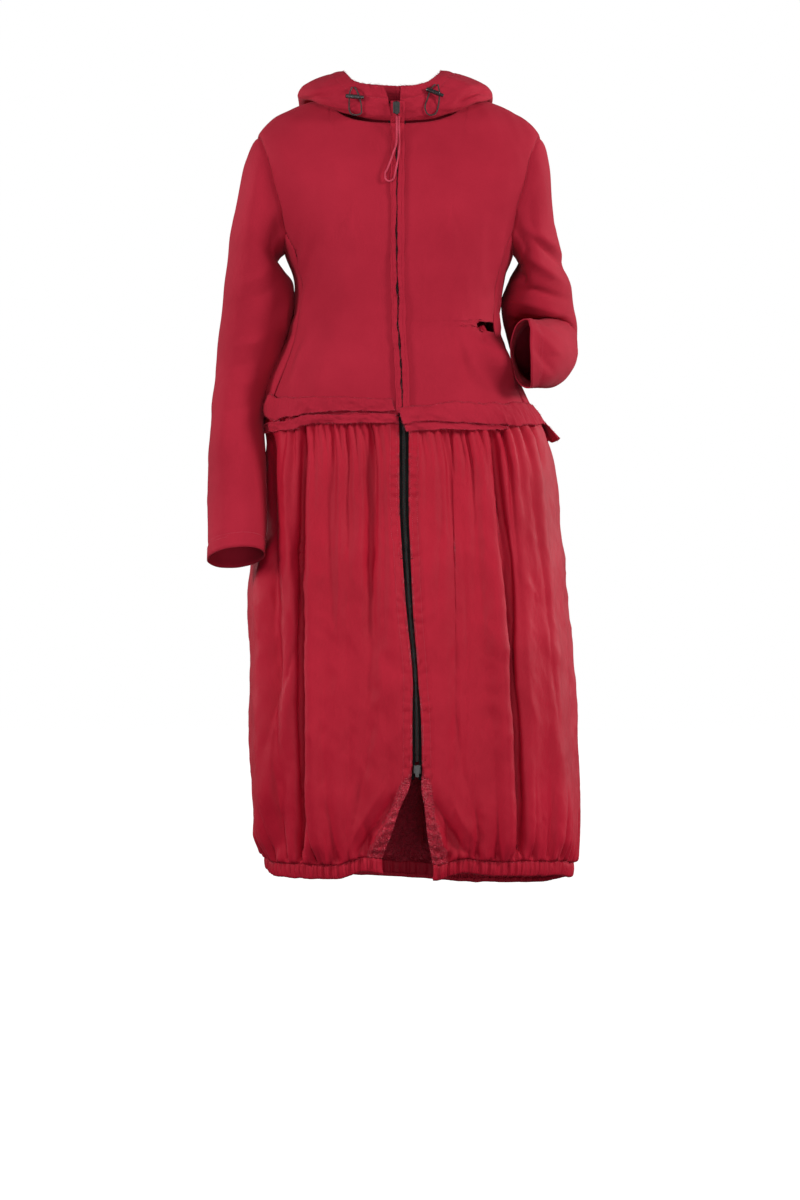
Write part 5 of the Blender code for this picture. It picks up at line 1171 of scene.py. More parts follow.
# the hood
hoodPiece = {
    "columns": 96,
    "rows": 84,
    "thick": 0.0021,
    "channel": 0.0170,  # stitch line of the cord channel, from the rim
    "rightCreases": [
        (4, -2.0, 330, 106, 353, 121, 367, 126, 386, 127), (4.5, 1.6, 332, 101, 348, 112, 366, 118),
        (4, -1.2, 318, 97, 330, 101, 340, 106), (4, 0.8, 352, 84, 366, 92, 386, 94),
        (5, 2.0, 306, 96, 322, 92, 338, 88), (3.5, -2.2, 304, 101, 320, 99, 336, 99),
    ],
    "leftCreases": [
        (4, -2.0, 468, 98, 454, 117, 433, 126, 414, 127), (4.5, 1.6, 464, 94, 450, 110, 432, 118),
        (4, -2.0, 478, 90, 466, 96, 456, 104), (4, 1.2, 446, 80, 458, 84, 470, 88),
        (3, -3.6, 453, 108, 466, 100, 480, 93.5, 493, 97), (5, 2.6, 444, 100, 462, 93, 480, 87, 492, 90),
        (4, 1.8, 462, 110, 476, 103, 492, 102), (4, 0.8, 408, 93, 420, 90, 432, 84),
    ],
}


# values of a small grid carried over to a finer one along both of its ways, without swinging past them
def finer(rowStations, columnStations, values, rows, columns):
    tall = np.stack([[smooth(rows, rowStations, values[:, c, k]) for k in range(3)] for c in range(values.shape[1])])
    tall = tall.transpose(2, 0, 1)
    wide = np.stack([[smooth(columns, columnStations, tall[r, :, k]) for k in range(3)] for r in range(len(rows))])
    return wide.transpose(0, 2, 1)


# one half of the hood: settled on the bodice on a coarse grid, then carried over to a fine one
def makeHood(side, word, ground, groundOut):
    angles = np.array([0, 12, 25, 38, 50, 61, 72, 82, 92, 103, 115, 128, 140, 152, 166, 180.0])
    along = np.array([0, 0.05, 0.11, 0.18, 0.27, 0.38, 0.49, 0.60, 0.73, 0.86, 1.0])
    plain = hood(side)(*np.meshgrid(angles, along))
    settled = plain.copy()
    settled[1:] = rested(plain[1:], ground, groundOut, jerseyThick + hoodRest)
    fineAngles = np.linspace(0, 180, hoodPiece["columns"])
    fineAlong = np.linspace(0, 1, hoodPiece["rows"]) ** 1.15
    u, v = np.meshgrid(fineAngles, fineAlong)
    base = hood(side)(u, v) + finer(along, angles, settled - plain, fineAlong, fineAngles)
    away = side * gridNormals(base)
    rim = edgeDistance(base, 0, last=True)
    seam = edgeDistance(base, 0)
    back = edgeDistance(base, 1, last=True)
    channel = -0.0007 * bell(rim, hoodPiece["channel"], 0.0016) + 0.0009 * bell(rim, 0.0085, 0.006)
    soft = 0.0012 * noise(u / 14, v * 5, 40 + side) + 0.0006 * noise(u / 6, v * 11, 41 + side)
    puckers = 0.0007 * np.sin(u * 1.9 + 2 * noise(u / 9, v * 3, 44)) * np.exp(-rim / 0.018)
    folds = creases(base, away, hoodPiece[word + "Creases"])
    rolls = seamRoll(seam, 0.0012, 0.003) + seamRoll(back, 0.0012, 0.003)
    out = folds + (soft + puckers) * step(seam / 0.012) + channel + rolls
    points = base + out[..., None] * away
    points[:, -1, 0] = -side * 0.0006  # the halves meet here
    thing = clothShell("hood" + word.capitalize(), points, jerseyFinish, hoodPiece["thick"], flip=side < 0)
    onGarment(thing, ["hood_" + word])
    return points, away


ground, groundOut = bodySamples()
hoodPoints = {side: makeHood(side, word, ground, groundOut) for side, word in bothSides}
print("hood made")

# the front opening: strips with raw edges, zip tapes, teeth, sliders
opening = {
    "collarOut": -0.0052,  # how far the collar stands in front of the neckline
    "stripWide": {"right": 0.0085, "left": 0.0105},
    "stripLift": 0.0038,  # how far a strip lies off the front's inner side
    "stripWave": 0.0016,  # unevenness of the raw edges
    "stripStitch": 0.0060,  # stitch line of a strip, from its raw edge
    "tapeFrom": 0.0026,  # a tape's two edges, from the middle of the zip
    "tapeTo": 0.0118,
    "teeth": (-0.915, -0.030),  # heights of the lowest and the topmost tooth
    "toothPitch": 0.0021,
    "tooth": (0.00155, 0.00105, 0.0013),  # half length, half height and depth of one tooth
}
stripRows = np.unique(np.concatenate([np.linspace(-0.4440, -0.0445, 150), np.linspace(-0.0445, -0.0145, 14)]))


# slopes of the front beside the opening, square to the cloth in the plane of the opening
def openingAway(u, v, collarOut):
    slope = (frontPoint(u, v + 1e-3, collarOut) - frontPoint(u, v - 1e-3, collarOut))[..., 1:]
    return unit(np.stack([np.zeros_like(u), -slope[..., 1], slope[..., 0]], axis=-1))


# a raw-edged strip beside the zip: its edge frays in and out and curls up, over a row of stitches and puckers
def makePlacket(side, word):
    share = np.linspace(0, 1, 22)[None, :]
    z = stripRows[:, None]
    edge = 0.0001 + opening["stripWave"] * np.clip(noise(z / 0.013, 0 * z, 60 + side) + 0.35, 0, 1)
    edge = edge + 0.0007 * (0.5 + 0.5 * noise(z / 0.0025, 0 * z, 62 + side))
    farEdge = opening["stripWide"][word] + 0.0008 * noise(z / 0.011, 0 * z, 64 + side)
    offset = side * (edge + (farEdge - edge) * share)
    z = z + 0 * offset
    base = frontPoint(offset, z, opening["collarOut"])
    away = openingAway(offset, z, opening["collarOut"])
    fromEdge = np.abs(offset) - edge
    curl = 0.0016 * np.exp(-fromEdge / 0.0016) * (0.5 + 0.5 * noise(z / 0.006, 0 * z, 66 + side))
    stitched = -0.0006 * bell(fromEdge, 0.0055, 0.0010)
    ripple = 0.0006 * np.sin(z / 0.0016 + 2 * noise(z / 0.01, 0 * z, 67)) * np.exp(-fromEdge / 0.004)
    uneven = 0.0004 * noise(z / 0.012, fromEdge / 0.004, 68 + side)
    points = base + (opening["stripLift"] + curl + stitched + ripple + uneven)[..., None] * away
    thing = clothShell("placket" + word.capitalize(), points, jerseyFinish, 0.0012, flip=side > 0)
    onGarment(thing, ["placket_" + word])
    return points, away


placketPoints = {side: makePlacket(side, word) for side, word in bothSides}

for side, word in bothSides:
    z = np.linspace(-0.940, -0.0145, 320)[:, None]
    share = np.linspace(0, 1, 8)[None, :]
    wide = opening["tapeTo"] + 0.0012 * step((-0.925 - z) / 0.012)
    offset = side * (opening["tapeFrom"] + (wide - opening["tapeFrom"]) * share)
    z = z + 0 * offset
    tape = frontPoint(offset, z)
    away = openingAway(offset, z, 0)
    cordedEdge = 0.0006 * bell(np.abs(offset), 0.0032, 0.0007)
    tape = tape + (-0.0014 + cordedEdge)[..., None] * away
    thing = clothShell("zipTape" + word.capitalize(), tape, tapeFinish, 0.0009, flip=side > 0)
    onGarment(thing, ["zip_tape_" + word])


# moulded teeth: a small block with a waist, its head across the middle, one row from each side
def makeTeeth():
    t = np.array([
        (-1.0, -0.55, -0.5), (-1.0, 0.55, -0.5), (-1.0, 0.55, 0.4), (-1.0, -0.55, 0.4),
        (0.0, -0.36, -0.5), (0.0, 0.36, -0.5), (0.0, 0.36, 0.5), (0.0, -0.36, 0.5),
        (0.55, -0.60, -0.5), (0.55, 0.60, -0.5), (0.55, 0.60, 0.5), (0.55, -0.60, 0.5),
        (1.0, -0.42, -0.35), (1.0, 0.42, -0.35), (1.0, 0.42, 0.30), (1.0, -0.42, 0.30),
    ]) * opening["tooth"]
    f = [(3, 2, 1, 0), (12, 13, 14, 15)]
    for k in (0, 4, 8):
        f += [(k + i, k + (i + 1) % 4, k + 4 + (i + 1) % 4, k + 4 + i) for i in range(4)]
    f = np.array(f)
    parts = []
    for side in (-1, 1):
        z = np.arange(*opening["teeth"], opening["toothPitch"]) + (opening["toothPitch"] / 2 if side > 0 else 0)
        axisZ = unit(frontPoint(0 * z, z + 1e-3) - frontPoint(0 * z, z - 1e-3))
        axisY = openingAway(0 * z, z, 0)
        axisX = unit(np.cross(axisY, axisZ))
        axisX = axisX * np.sign(axisX[:, :1])
        origins = frontPoint(0 * z, z) + axisX * (side * 0.00085) - 0.0004 * axisY
        points, faces = copies(t, f, origins, -side * axisX, axisZ, axisY)
        parts.append((points, faces if side > 0 else faces[:, ::-1]))
    onGarment(meshObject("zipTeeth", *joined(parts), toothFinish), ["zip_chain"])


makeTeeth()
for name in ("zip_slider_top", "zip_pull_top", "zip_slider_bottom", "zip_pull_bottom"):
    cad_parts[name].material_slots[0].material = metalFinish
for name in ("cord_lock_right", "cord_lock_left"):
    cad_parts[name].material_slots[0].material = lockFinish
print("front opening made")

# the waist strips
waistPiece = {
    "thick": 0.0014,
    "frillWaves": 4.5,
    # name: node, flat size, angles from the middle of the front, columns, wave of a frill, then the lower edge, the
    # middle and the upper edge, each with its stations (degrees), its heights and how far it is lifted off the body
    "strips": {
        "waistStripUpperRight": ("waist_strip_upper_right", (0.24, 0.026), (-1.9, -74.4), 260, 0.0, [
            ([0, 20, 50, 58, 66, 74],
             [-0.4412, -0.4405, -0.4475, -0.4520, -0.4470, -0.4420],
             [0.0032, 0.0032, 0.0040, 0.0046, 0.0060, 0.0052]),
            ([0, 20, 50, 58, 66, 74],
             [-0.4330, -0.4320, -0.4330, -0.4350, -0.4320, -0.4300],
             [0.0044, 0.0044, 0.0046, 0.0055, 0.0095, 0.0074]),
            ([0, 20, 50, 58, 66, 74],
             [-0.4245, -0.4220, -0.4200, -0.4215, -0.4150, -0.4165],
             [0.0031, 0.0031, 0.0031, 0.0036, 0.0060, 0.0048])]),
        "waistStripLowerRight": ("waist_strip_lower_right", (0.28, 0.016), (-1.9, -83.5), 280, 0.0, [
            ([0, 25, 50, 90], [-0.4580, -0.4560, -0.4640, -0.4706], [0.0034, 0.0034, 0.0040, 0.0046]),
            ([0, 25, 50, 90], [-0.4500, -0.4490, -0.4560, -0.4650], [0.0046, 0.0046, 0.0052, 0.0056]),
            ([0, 25, 50, 90], [-0.4444, -0.4440, -0.4510, -0.4600], [0.0031, 0.0031, 0.0036, 0.0042])]),
        "waistStripLowerLeft": ("waist_strip_lower_left", (0.12, 0.018), (0.0, 40), 160, 0.0, [
            ([0, 5, 20, 40], [-0.4660, -0.4655, -0.4650, -0.4630], [0.0062, 0.0040, 0.0034, 0.0036]),
            ([0, 5, 20, 40], [-0.4590, -0.4570, -0.4575, -0.4615], [0.0070, 0.0048, 0.0042, 0.0038]),
            ([0, 5, 20, 40], [-0.4500, -0.4480, -0.4500, -0.4600], [0.0060, 0.0036, 0.0030, 0.0032])]),
        "waistStripUpperLeft": ("waist_strip_upper_left", (0.22, 0.032), (-0.3, 77.5), 275, 0.0, [
            ([0, 9, 40, 60, 76],
             [-0.4590, -0.4548, -0.4587, -0.4570, -0.4545], [0.0082, 0.0068, 0.0058, 0.0050, 0.0060]),
            ([0, 9, 40, 60, 76],
             [-0.4470, -0.4450, -0.4440, -0.4420, -0.4420], [0.0088, 0.0078, 0.0072, 0.0066, 0.0076]),
            ([0, 9, 20, 32, 60, 76],
             [-0.4370, -0.4347, -0.4278, -0.4300, -0.4266, -0.4290],
             [0.0078, 0.0060, 0.0036, 0.0042, 0.0036, 0.0042])]),
        "waistFrill": ("waist_frill", (0.18, 0.034), (78, 124), 220, 0.0058, [
            ([78, 125], [-0.4420, -0.4440], [0.0028, 0.0028]),
            ([78, 125], [-0.4560, -0.4560], [0.0066, 0.0060]),
            ([78, 100, 125], [-0.4740, -0.4760, -0.4660], [0.0110, 0.0120, 0.0070])]),
        "waistStripBack": ("waist_strip_back", (0.41, 0.026), (125.5, 268), 360, 0.0, [
            ([125, 268], [-0.4560, -0.4560], [0.0042, 0.0042]),
            ([125, 268], [-0.4440, -0.4440], [0.0050, 0.0050]),
            ([125, 268], [-0.4320, -0.4320], [0.0038, 0.0038])]),
    },
}
waistEdges = []


# a strip round the waist: a curve up through its lower edge, middle and upper edge, carried round the body and
# lifted off it, with a small curl and waver along its raw edges
def makeStrip(name, node, flatSize, ends, columns, wave, rows, seed):
    angles = np.radians(np.linspace(*ends, columns))[None, :]
    at = np.degrees(np.abs(angles))
    t = np.linspace(0, 1, 12)[:, None]
    heights, lifts = [], []
    for stations, zs, outs in rows:
        heights.append(smooth(at, stations, zs))
        lifts.append(smooth(at, stations, outs))
    low, mid, high = (1 - t) * (1 - 2 * t), 4 * t * (1 - t), t * (2 * t - 1)
    z = low * heights[0] + mid * heights[1] + high * heights[2]
    lift = low * lifts[0] + mid * lifts[1] + high * lifts[2]
    share = (at - at.min()) / (at.max() - at.min())
    if wave:
        z = z - 0.0035 * np.sin(2 * np.pi * waistPiece["frillWaves"] * share) * t
        lift = lift + wave * np.cos(2 * np.pi * waistPiece["frillWaves"] * share) * t
        lift = lift + 0.0012 * np.cos(2 * np.pi * 9.2 * share + 1) * t**2
    arc = np.radians(at) * 0.165
    z = z + 0.0009 * noise(arc / 0.005, 4 * t, seed) * (2 * t - 1) + 0.0014 * noise(arc / 0.022, 0 * t, seed + 1)
    fromEdge = np.minimum(t, 1 - t)
    curl = 0.0021 * np.exp(-fromEdge / 0.09) * (0.5 + 0.5 * noise(arc / 0.007, 2 * t, seed + 2))
    ripple = 0.0014 * noise(arc / 0.013, 2.5 * t, seed + 3) + 0.0007 * noise(arc / 0.004, 4 * t, seed + 4)
    lift = lift + curl + ripple + 0.0004
    u = np.repeat(angles, len(t), axis=0)
    facing = forward(u)
    flat = unit(np.stack([across(u) / 0.19, -facing / np.where(facing > 0, 0.146, 0.131), np.zeros_like(u)], axis=-1))
    points = waist(u, z) + (lift + stripThick)[..., None] * flat
    flip = np.sum(gridNormals(points) * flat) < 0
    thing = clothShell(name, points, jerseyFinish, waistPiece["thick"], flip=flip)
    onGarment(thing, [node])
    waistEdges.append((points, flat))


for number, (name, strip) in enumerate(waistPiece["strips"].items()):
    makeStrip(name, *strip, 80 + 7 * number)
print("waist strips made")

# the skirt
skirtPiece = {
    "columns": 172,
    "backColumns": 188,
    "rows": 160,
    "crumple": 0.0020,  # height of the crumpled creases
    "slant": 0.0016,  # height of the slanting creases
    # gathers at the waist of the front, on the picture: place across, depth and length in millimetres
    "frontValleys": [
        (286.6, 5, 60), (294, 6, 90), (304.5, 9, 200), (315, 6, 90), (320, 4, 50), (326, 4, 60), (333, 6, 110),
        (340, 5, 70), (347, 6, 120), (355, 5, 90), (361.5, 5, 70), (370, 7, 150), (379, 4, 60), (386, 3, 40),
        (411, 3, 50), (419, 5, 90), (423, 4, 60), (431, 4, 70), (440, 6, 120), (448, 5, 80), (457, 6, 90),
        (463, 8, 190), (470, 4, 60), (476, 6, 110), (485, 5, 80), (491, 4, 50), (498, 10, 260), (508, 5, 80),
        (518, 6, 110), (528.5, 6, 90), (541.5, 5, 80),
    ],
    "backValleys": 38,
    "valleyWidth": 0.0024,
    "gatherShare": 1.8,  # every gather of the front is this much deeper
    "softFold": 0.0046,
    "bandStitch": 0.0135,  # stitch line of the turned edge beside the zip and the slit
    # long folds on the picture: side, line, width and height in millimetres (below 0 is a trough)
    "longFolds": [
        (3.6, -13.0, 305, 428, 304.5, 560, 304, 700, 306, 864), (5, 5.0, 311, 436, 311, 560, 310, 700, 311, 860),
        (7, 4.5, 287, 436, 292, 573, 298, 642), (6, -4.5, 297, 647, 286, 681, 268, 751),
        (7, 3.0, 289, 668, 278, 720, 272, 800), (5, -3.5, 280, 440, 281, 540, 277, 640),
        (6, -3.2, 333, 430, 331, 520, 336, 640), (7, -2.6, 347, 430, 350, 560, 345, 700),
        (6, 2.4, 340, 434, 341, 540, 340, 660), (6, -4.2, 370, 432, 370, 535, 373, 633),
        (6, 2.6, 362, 434, 361, 540, 362, 640), (5, -2.2, 384, 470, 386, 560, 384, 660),
        (7, -2.4, 328, 640, 322, 740, 330, 850), (7, -2.6, 352, 700, 349, 780, 343, 856),
        (5, -6.5, 396, 789, 374, 824, 354, 856), (4, -5.5, 399, 787, 384, 818, 364, 846),
        (3.5, -4.5, 404, 792, 390, 826, 372, 858), (3.5, 4.0, 402, 788, 387, 822, 368, 852),
        (6, 3.0, 386, 780, 362, 820, 346, 850), (6, -2.0, 378, 700, 366, 770, 352, 830),
        (6, -3.2, 440, 430, 441, 520, 436, 620), (6, -4.0, 463, 428, 461, 520, 466, 640, 462, 760),
        (6, 2.6, 455, 432, 454, 540, 457, 660), (6, -2.4, 476, 430, 478, 540, 482, 640),
        (4.4, -15.0, 492, 440, 499, 512, 505, 558, 507, 659, 512, 714, 517, 800, 517, 856),
        (5, 4.2, 500, 436, 508, 520, 514, 600, 516, 690, 522, 760, 526, 840),
        (5, 3.2, 486, 450, 493, 530, 499, 620, 503, 720, 508, 830),
        (6, 4.0, 531, 440, 545, 527, 556, 596, 562, 659, 572, 714, 575, 749),
        (6, -3.6, 522, 440, 534, 520, 544, 600, 551, 680, 560, 760), (5, -6.5, 430, 791, 450, 826, 471, 859),
        (4, -5.5, 427, 793, 440, 822, 458, 850), (3.5, -4.5, 426, 812, 433, 838, 443, 858),
        (3.5, 4.0, 429, 802, 439, 830, 451, 858), (6, 2.8, 444, 786, 464, 820, 484, 852),
        (6, -2.2, 452, 700, 462, 770, 480, 830), (6, -3.0, 536, 770, 540, 820, 536, 858),
    ],
    "backLongFolds": [
        (6, -5.5, 318, 440, 315, 560, 312, 700, 316, 850), (6, 3.5, 326, 440, 324, 560, 322, 700, 325, 845),
        (7, -3.6, 352, 436, 350, 520, 346, 640), (7, -3.8, 376, 436, 374, 560, 378, 720),
        (7, -3.4, 410, 436, 412, 540, 407, 650), (6, -4.8, 438, 436, 440, 560, 446, 720, 448, 850),
        (6, 3.2, 447, 438, 450, 560, 456, 700), (7, -3.4, 470, 436, 475, 520, 480, 620),
        (6, -5.2, 500, 440, 510, 560, 520, 700, 524, 850), (6, -4.0, 293, 440, 288, 560, 282, 700),
        (7, -3.0, 360, 700, 350, 780, 352, 850), (7, -3.0, 402, 740, 398, 800, 404, 856),
        (7, -2.8, 480, 740, 486, 800, 492, 850),
    ],
}


# the gathers as narrow valleys with round cloth between: each valley is a pinched bell at its share of the half
# width, and fades below the waist
def gatherValleys(share, x, z, facing):
    below = np.clip(skirtTop - z, 0, None)
    halfWidth = skirtSize("halfWidth", z)
    width = skirtPiece["valleyWidth"]
    total = np.zeros_like(x)

    def valley(place, deep, reach, wide, power):
        d = np.abs(share - place) * halfWidth / wide
        return deep * 0.001 * np.exp(-below / (reach * 0.001)) / (1 + d**2) ** power

    ahead, behind = step(0.5 + 5 * facing), step(0.5 - 5 * facing)
    for spot, deep, reach in skirtPiece["frontValleys"]:
        place = ((spot - picture["axisX"]) * picture["perPixel"] - 0.0075) / 0.1890
        deep = deep * skirtPiece["gatherShare"]
        total = total + ahead * valley(place, deep, reach, width * (1 + below / 0.075), 1.5)
    for k in range(skirtPiece["backValleys"]):
        place = -0.985 + 1.97 * (k + 0.35 * np.sin(k * 2.7)) / (skirtPiece["backValleys"] - 1)
        deep, reach = 8.0 + 3.0 * np.sin(k * 1.9 + 0.4), 95 + 60 * np.sin(k * 3.1)
        total = total + behind * valley(place, deep, reach, 1.6 * width * (1 + below / 0.12), 1.3)
    return (0.0028 - total) * step((skirtTop - z) / 0.012)


# puckers that the elastic draws up: the hem's ruffles carried upwards and fading, with every few of them longer
def hemPuckers(angle, z):
    above = z - casingTop
    turn = ruffleTurn(angle)
    fade = 0.016 + 0.010 * noise(turn, 0 * turn, 90)
    short = 0.0066 * np.exp(-np.clip(above, 0, None) / fade) * (np.abs(np.sin(np.pi * turn)) ** 0.55 - 0.6)
    wide = 0.0125 * np.exp(-np.clip(above - 0.004, 0, None) / (0.050 + 0.03 * noise(turn / 2.3, 0 * turn, 91)))
    wide = wide * (np.abs(np.sin(np.pi * (turn / 2.6 + 0.3 * noise(turn / 5, 0 * turn, 92)))) ** 0.6 - 0.70)
    return short * step(above / 0.002) + wide * step(above / 0.006)


# fine shape of the skirt, off the smooth sections: gathers, hem puckers, long folds, soft upright folds and two
# slanting sets of creases, as a lightly starched cloth falls into
def skirtDetail(angle, z, points, away):
    arc = angle * 0.19
    swing = noise(arc / 0.034 + 0.3 * noise(arc / 0.1, z / 0.2, 70), z / 0.30, 71)
    soft = skirtPiece["softFold"] * (swing + 0.20 * noise(arc / 0.015, z / 0.16, 72))
    slant = crumple(arc + 0.30 * z, z * 0.35, 0.040, 73) + crumple(arc - 0.35 * z, z * 0.30, 0.052, 75)
    creased = skirtPiece["slant"] * slant + skirtPiece["crumple"] * crumple(arc, z * 0.6, 0.030, 76)
    folds = 1.25 * creases(points, away, skirtPiece["longFolds"], skirtPiece["backLongFolds"], 1.2)
    folds = folds * step((z - casingTop) / 0.012)
    middle = np.sin(np.pi * np.clip((skirtTop - z) / (skirtTop - casingTop), 0, 1)) ** 0.5
    gathers = gatherValleys(across(angle), points[..., 0], z, forward(angle))
    return gathers + hemPuckers(angle, z) + folds + soft * middle + creased * (0.35 + 0.65 * middle)


# a panel of the skirt; one with a band has the turned, drawn-up edge that runs beside the zip and the slit
def makeSkirt(name, node, angle, z, band=False):
    base = skirt(angle, z)
    away = gridNormals(base)
    sign = 1 if np.sum(away[..., :2] * (base[..., :2] - np.array([0.015, 0.005]))) > 0 else -1
    away = away * sign
    out = skirtDetail(angle, z, base, away)
    fromEdge = edgeDistance(base, 1)
    if band:
        puckers = 0.0012 * np.sin(z / 0.0021 + 2.5 * noise(z / 0.02, fromEdge / 0.008, 95))
        puckers = (puckers + 0.0010 * noise(z / 0.0045, fromEdge / 0.004, 96)) * step((0.0145 - fromEdge) / 0.003)
        out = out * step((fromEdge - 0.002) / 0.016) - 0.0006 * bell(fromEdge, skirtPiece["bandStitch"], 0.0012)
        out = out + puckers * step((-0.47 - z) / 0.03)
    else:
        out = out * step(fromEdge / 0.010)
    lastEdge = edgeDistance(base, 1, last=True)
    out = out * step(lastEdge / 0.010) + seamRoll(lastEdge, 0.0012, 0.003)
    points = base + (taffetaThick + out)[..., None] * away
    thing = clothShell(name, points, skirtFinish, 0.0008, flip=sign < 0)
    thing.data.materials.append(crinkledFinish)  # its wrong side, and the drawn-up bands along the slit
    thing.modifiers["thickness"].material_offset = 1
    if band:
        reach = 0.0125 * step((-0.925 - z) / 0.030) + 0.007 * step((-0.98 - z) / 0.06)
        inBand = fromEdge < reach + 0.0022 * noise(z / 0.006, fromEdge / 0.004, 94)
        thing.data.polygons.foreach_set("material_index", inBand[:-1, :-1].ravel().astype(np.int32))
    onGarment(thing, [node])
    return points, away


hemPiece = {
    "columns": {"front": 290, "back": 500},
    "turnUp": 0.006,  # how far the casing is turned up inside
    "ruffle": 0.0084,  # height of the ruffles
    "inward": 0.0056,  # how far the elastic draws the casing in between them
    "puff": 0.0014,
}


# the elastic hem: a casing puffed between its stitch line and its lower edge, turned up inside

def makeHem(name, node, side, firstTurn, lastTurn, part):
    fine = np.linspace(-0.5, 2 * np.pi, 4000)
    turns = np.linspace(firstTurn, lastTurn, hemPiece["columns"][part])
    angles = side * np.interp(turns, ruffleTurn(fine), fine)[None, :]
    t = np.linspace(0, 1, 17)[:, None]
    down = np.where(t < 0.72, casingHeight * t / 0.72, casingHeight - hemPiece["turnUp"] * step((t - 0.72) / 0.28))
    inside = step((t - 0.66) / 0.16)
    u = angles + 0 * t
    base = skirt(u, np.full_like(u, casingTop))
    outward = unit(base[..., :2] - np.array([0.0278, 0.005]))
    turn = ruffleTurn(np.abs(u))
    fineTurn = 2.3 * turn + 0.35 * noise(turn / 1.7, 0 * turn, 93)
    ruffle = 0.55 * np.abs(np.sin(np.pi * turn)) ** 0.65 + 0.45 * np.abs(np.sin(np.pi * fineTurn)) ** 0.6
    puff = np.sin(np.pi * np.clip(t / 0.86, 0, 1))
    wave = (hemPiece["ruffle"] * ruffle - hemPiece["inward"]) * (0.35 + 0.65 * puff)
    wave = wave + 0.0007 * noise(turn * 1.7, 3 * t, 97)
    tuck = -0.003 * down / casingHeight
    out = taffetaThick + 0.0012 + wave + tuck + hemPiece["puff"] * puff - 0.0034 * inside
    height = base[..., 2] + 0.0005 - down + 0.0008 * noise(turn * 0.9, 2 * t, 98)
    points = np.concatenate([base[..., :2] + outward * out[..., None], height[..., None]], axis=-1)
    away = np.concatenate([outward, 0 * outward[..., :1]], axis=-1)
    normal = gridNormals(points)
    flip = np.sum(normal[:9] * away[:9]) < 0
    thing = clothShell(name, points, skirtFinish, 0.0008, flip=flip)
    onGarment(thing, [node])
    return points, away


skirtRows = np.unique(np.concatenate([
    np.linspace(-1.0526, -0.985, 32), np.linspace(-0.985, -0.56, skirtPiece["rows"] - 70),
    np.linspace(-0.56, -0.4469, 36),
]))
seamAngle = sideSeam - 0.0008  # the front panels end just before the side seam
skirtPoints, hemPoints = {}, []
for side, word in bothSides:
    start = side * (frontLine(skirtRows) - skirtSize("centreX", skirtRows)) + halfOpening(skirtRows)
    start = start / skirtSize("halfWidth", skirtRows)
    first = np.sign(start) * angleAt(np.abs(start))
    acrossPanel = np.linspace(0, 1, skirtPiece["columns"])[None, :]
    u = side * (first[:, None] + (seamAngle - first[:, None]) * acrossPanel)
    v = np.repeat(skirtRows[:, None], u.shape[1], axis=1)
    panel, casing = "skirtFront" + word.capitalize(), "hemFront" + word.capitalize()
    skirtPoints[side] = makeSkirt(panel, "skirt_front_" + word, u, v, True)
    low = np.interp(casingTop, skirtRows, start)
    firstTurn = ruffleTurn(np.sign(low) * angleAt(abs(low)))
    lastTurn = ruffleTurn(seamAngle)
    hemPoints.append(makeHem(casing, "hem_casing_front_" + word, side, firstTurn, lastTurn, "front"))
u, v = np.meshgrid(np.linspace(sideSeam, 2 * np.pi - sideSeam, skirtPiece["backColumns"]), skirtRows)
makeSkirt("skirtBack", "skirt_back", u, v)
firstTurn, lastTurn = ruffleTurn(sideSeam), ruffleTurn(2 * np.pi - sideSeam)
hemPoints.append(makeHem("hemBack", "hem_casing_back", 1, firstTurn, lastTurn, "back"))
print("skirt made")

# the pocket bags: flat rings carried along the body from the mouth, closing at their far end
pocket = {
    "stations": (0.905, 0.80, 0.60, 0.40),  # shares of the half width, from the mouth inwards
    # half heights (of the level) and half depths at those stations
    "right": ((0.036, 0.045, 0.052, 0.046), (0.0022, 0.0030, 0.0032, 0.0028)),
    "left": ((0.0435, 0.045, 0.052, 0.046), (0.0065, 0.0080, 0.0060, 0.0030)),
    "sides": 60,
    "rows": 26,
}
for side, word in bothSides:
    stations = -np.array(pocket["stations"])
    shares = np.linspace(-stations[0], -stations[-1], pocket["rows"])
    halfHeight, halfDepth = (smooth(-shares, stations, sizes) for sizes in pocket[word])
    turn = np.linspace(0, 2 * np.pi, pocket["sides"], endpoint=False)[None, :]
    closing = np.sqrt(np.clip(1 - ((0.44 - shares) / 0.04).clip(0, 1) ** 2, 0.002, 1))[:, None]
    middleLevel = -0.152 + 0.0075 * (side > 0) * np.exp(-(0.905 - shares[:, None]) / 0.08)
    level = middleLevel - 0.030 * (0.905 - shares[:, None]) + halfHeight[:, None] * closing * np.sin(turn)
    angle = side * angleAt(shares[:, None] + 0 * turn)
    into = (-0.0054 if side > 0 else -0.0013) - halfDepth[:, None] + halfDepth[:, None] * closing * np.cos(turn)
    into = into - 0.0006 * (0.5 + 0.5 * noise(level / 0.012, shares[:, None] / 0.08, 99 + side)) * (side > 0)
    out = facingOut(torso, side * 0.9, -0.15) * normals(torso, angle, level)
    push = gape(angle, level) * np.clip(np.cos(turn), 0, 1) if side > 0 else np.zeros_like(level)
    points = torso(angle, level) + into[..., None] * out + push[..., None] * np.array([gapeOut, -gapeForward, 0])
    centre = points.mean(axis=1, keepdims=True)
    flip = np.sum(gridNormals(points, True) * (points - centre)) < 0
    bag = clothShell("pocketBag" + word.capitalize(), points, skirtFinish, bagThick, True, flip)
    onGarment(bag, ["pocket_bag_" + word])
print("pocket bags made")

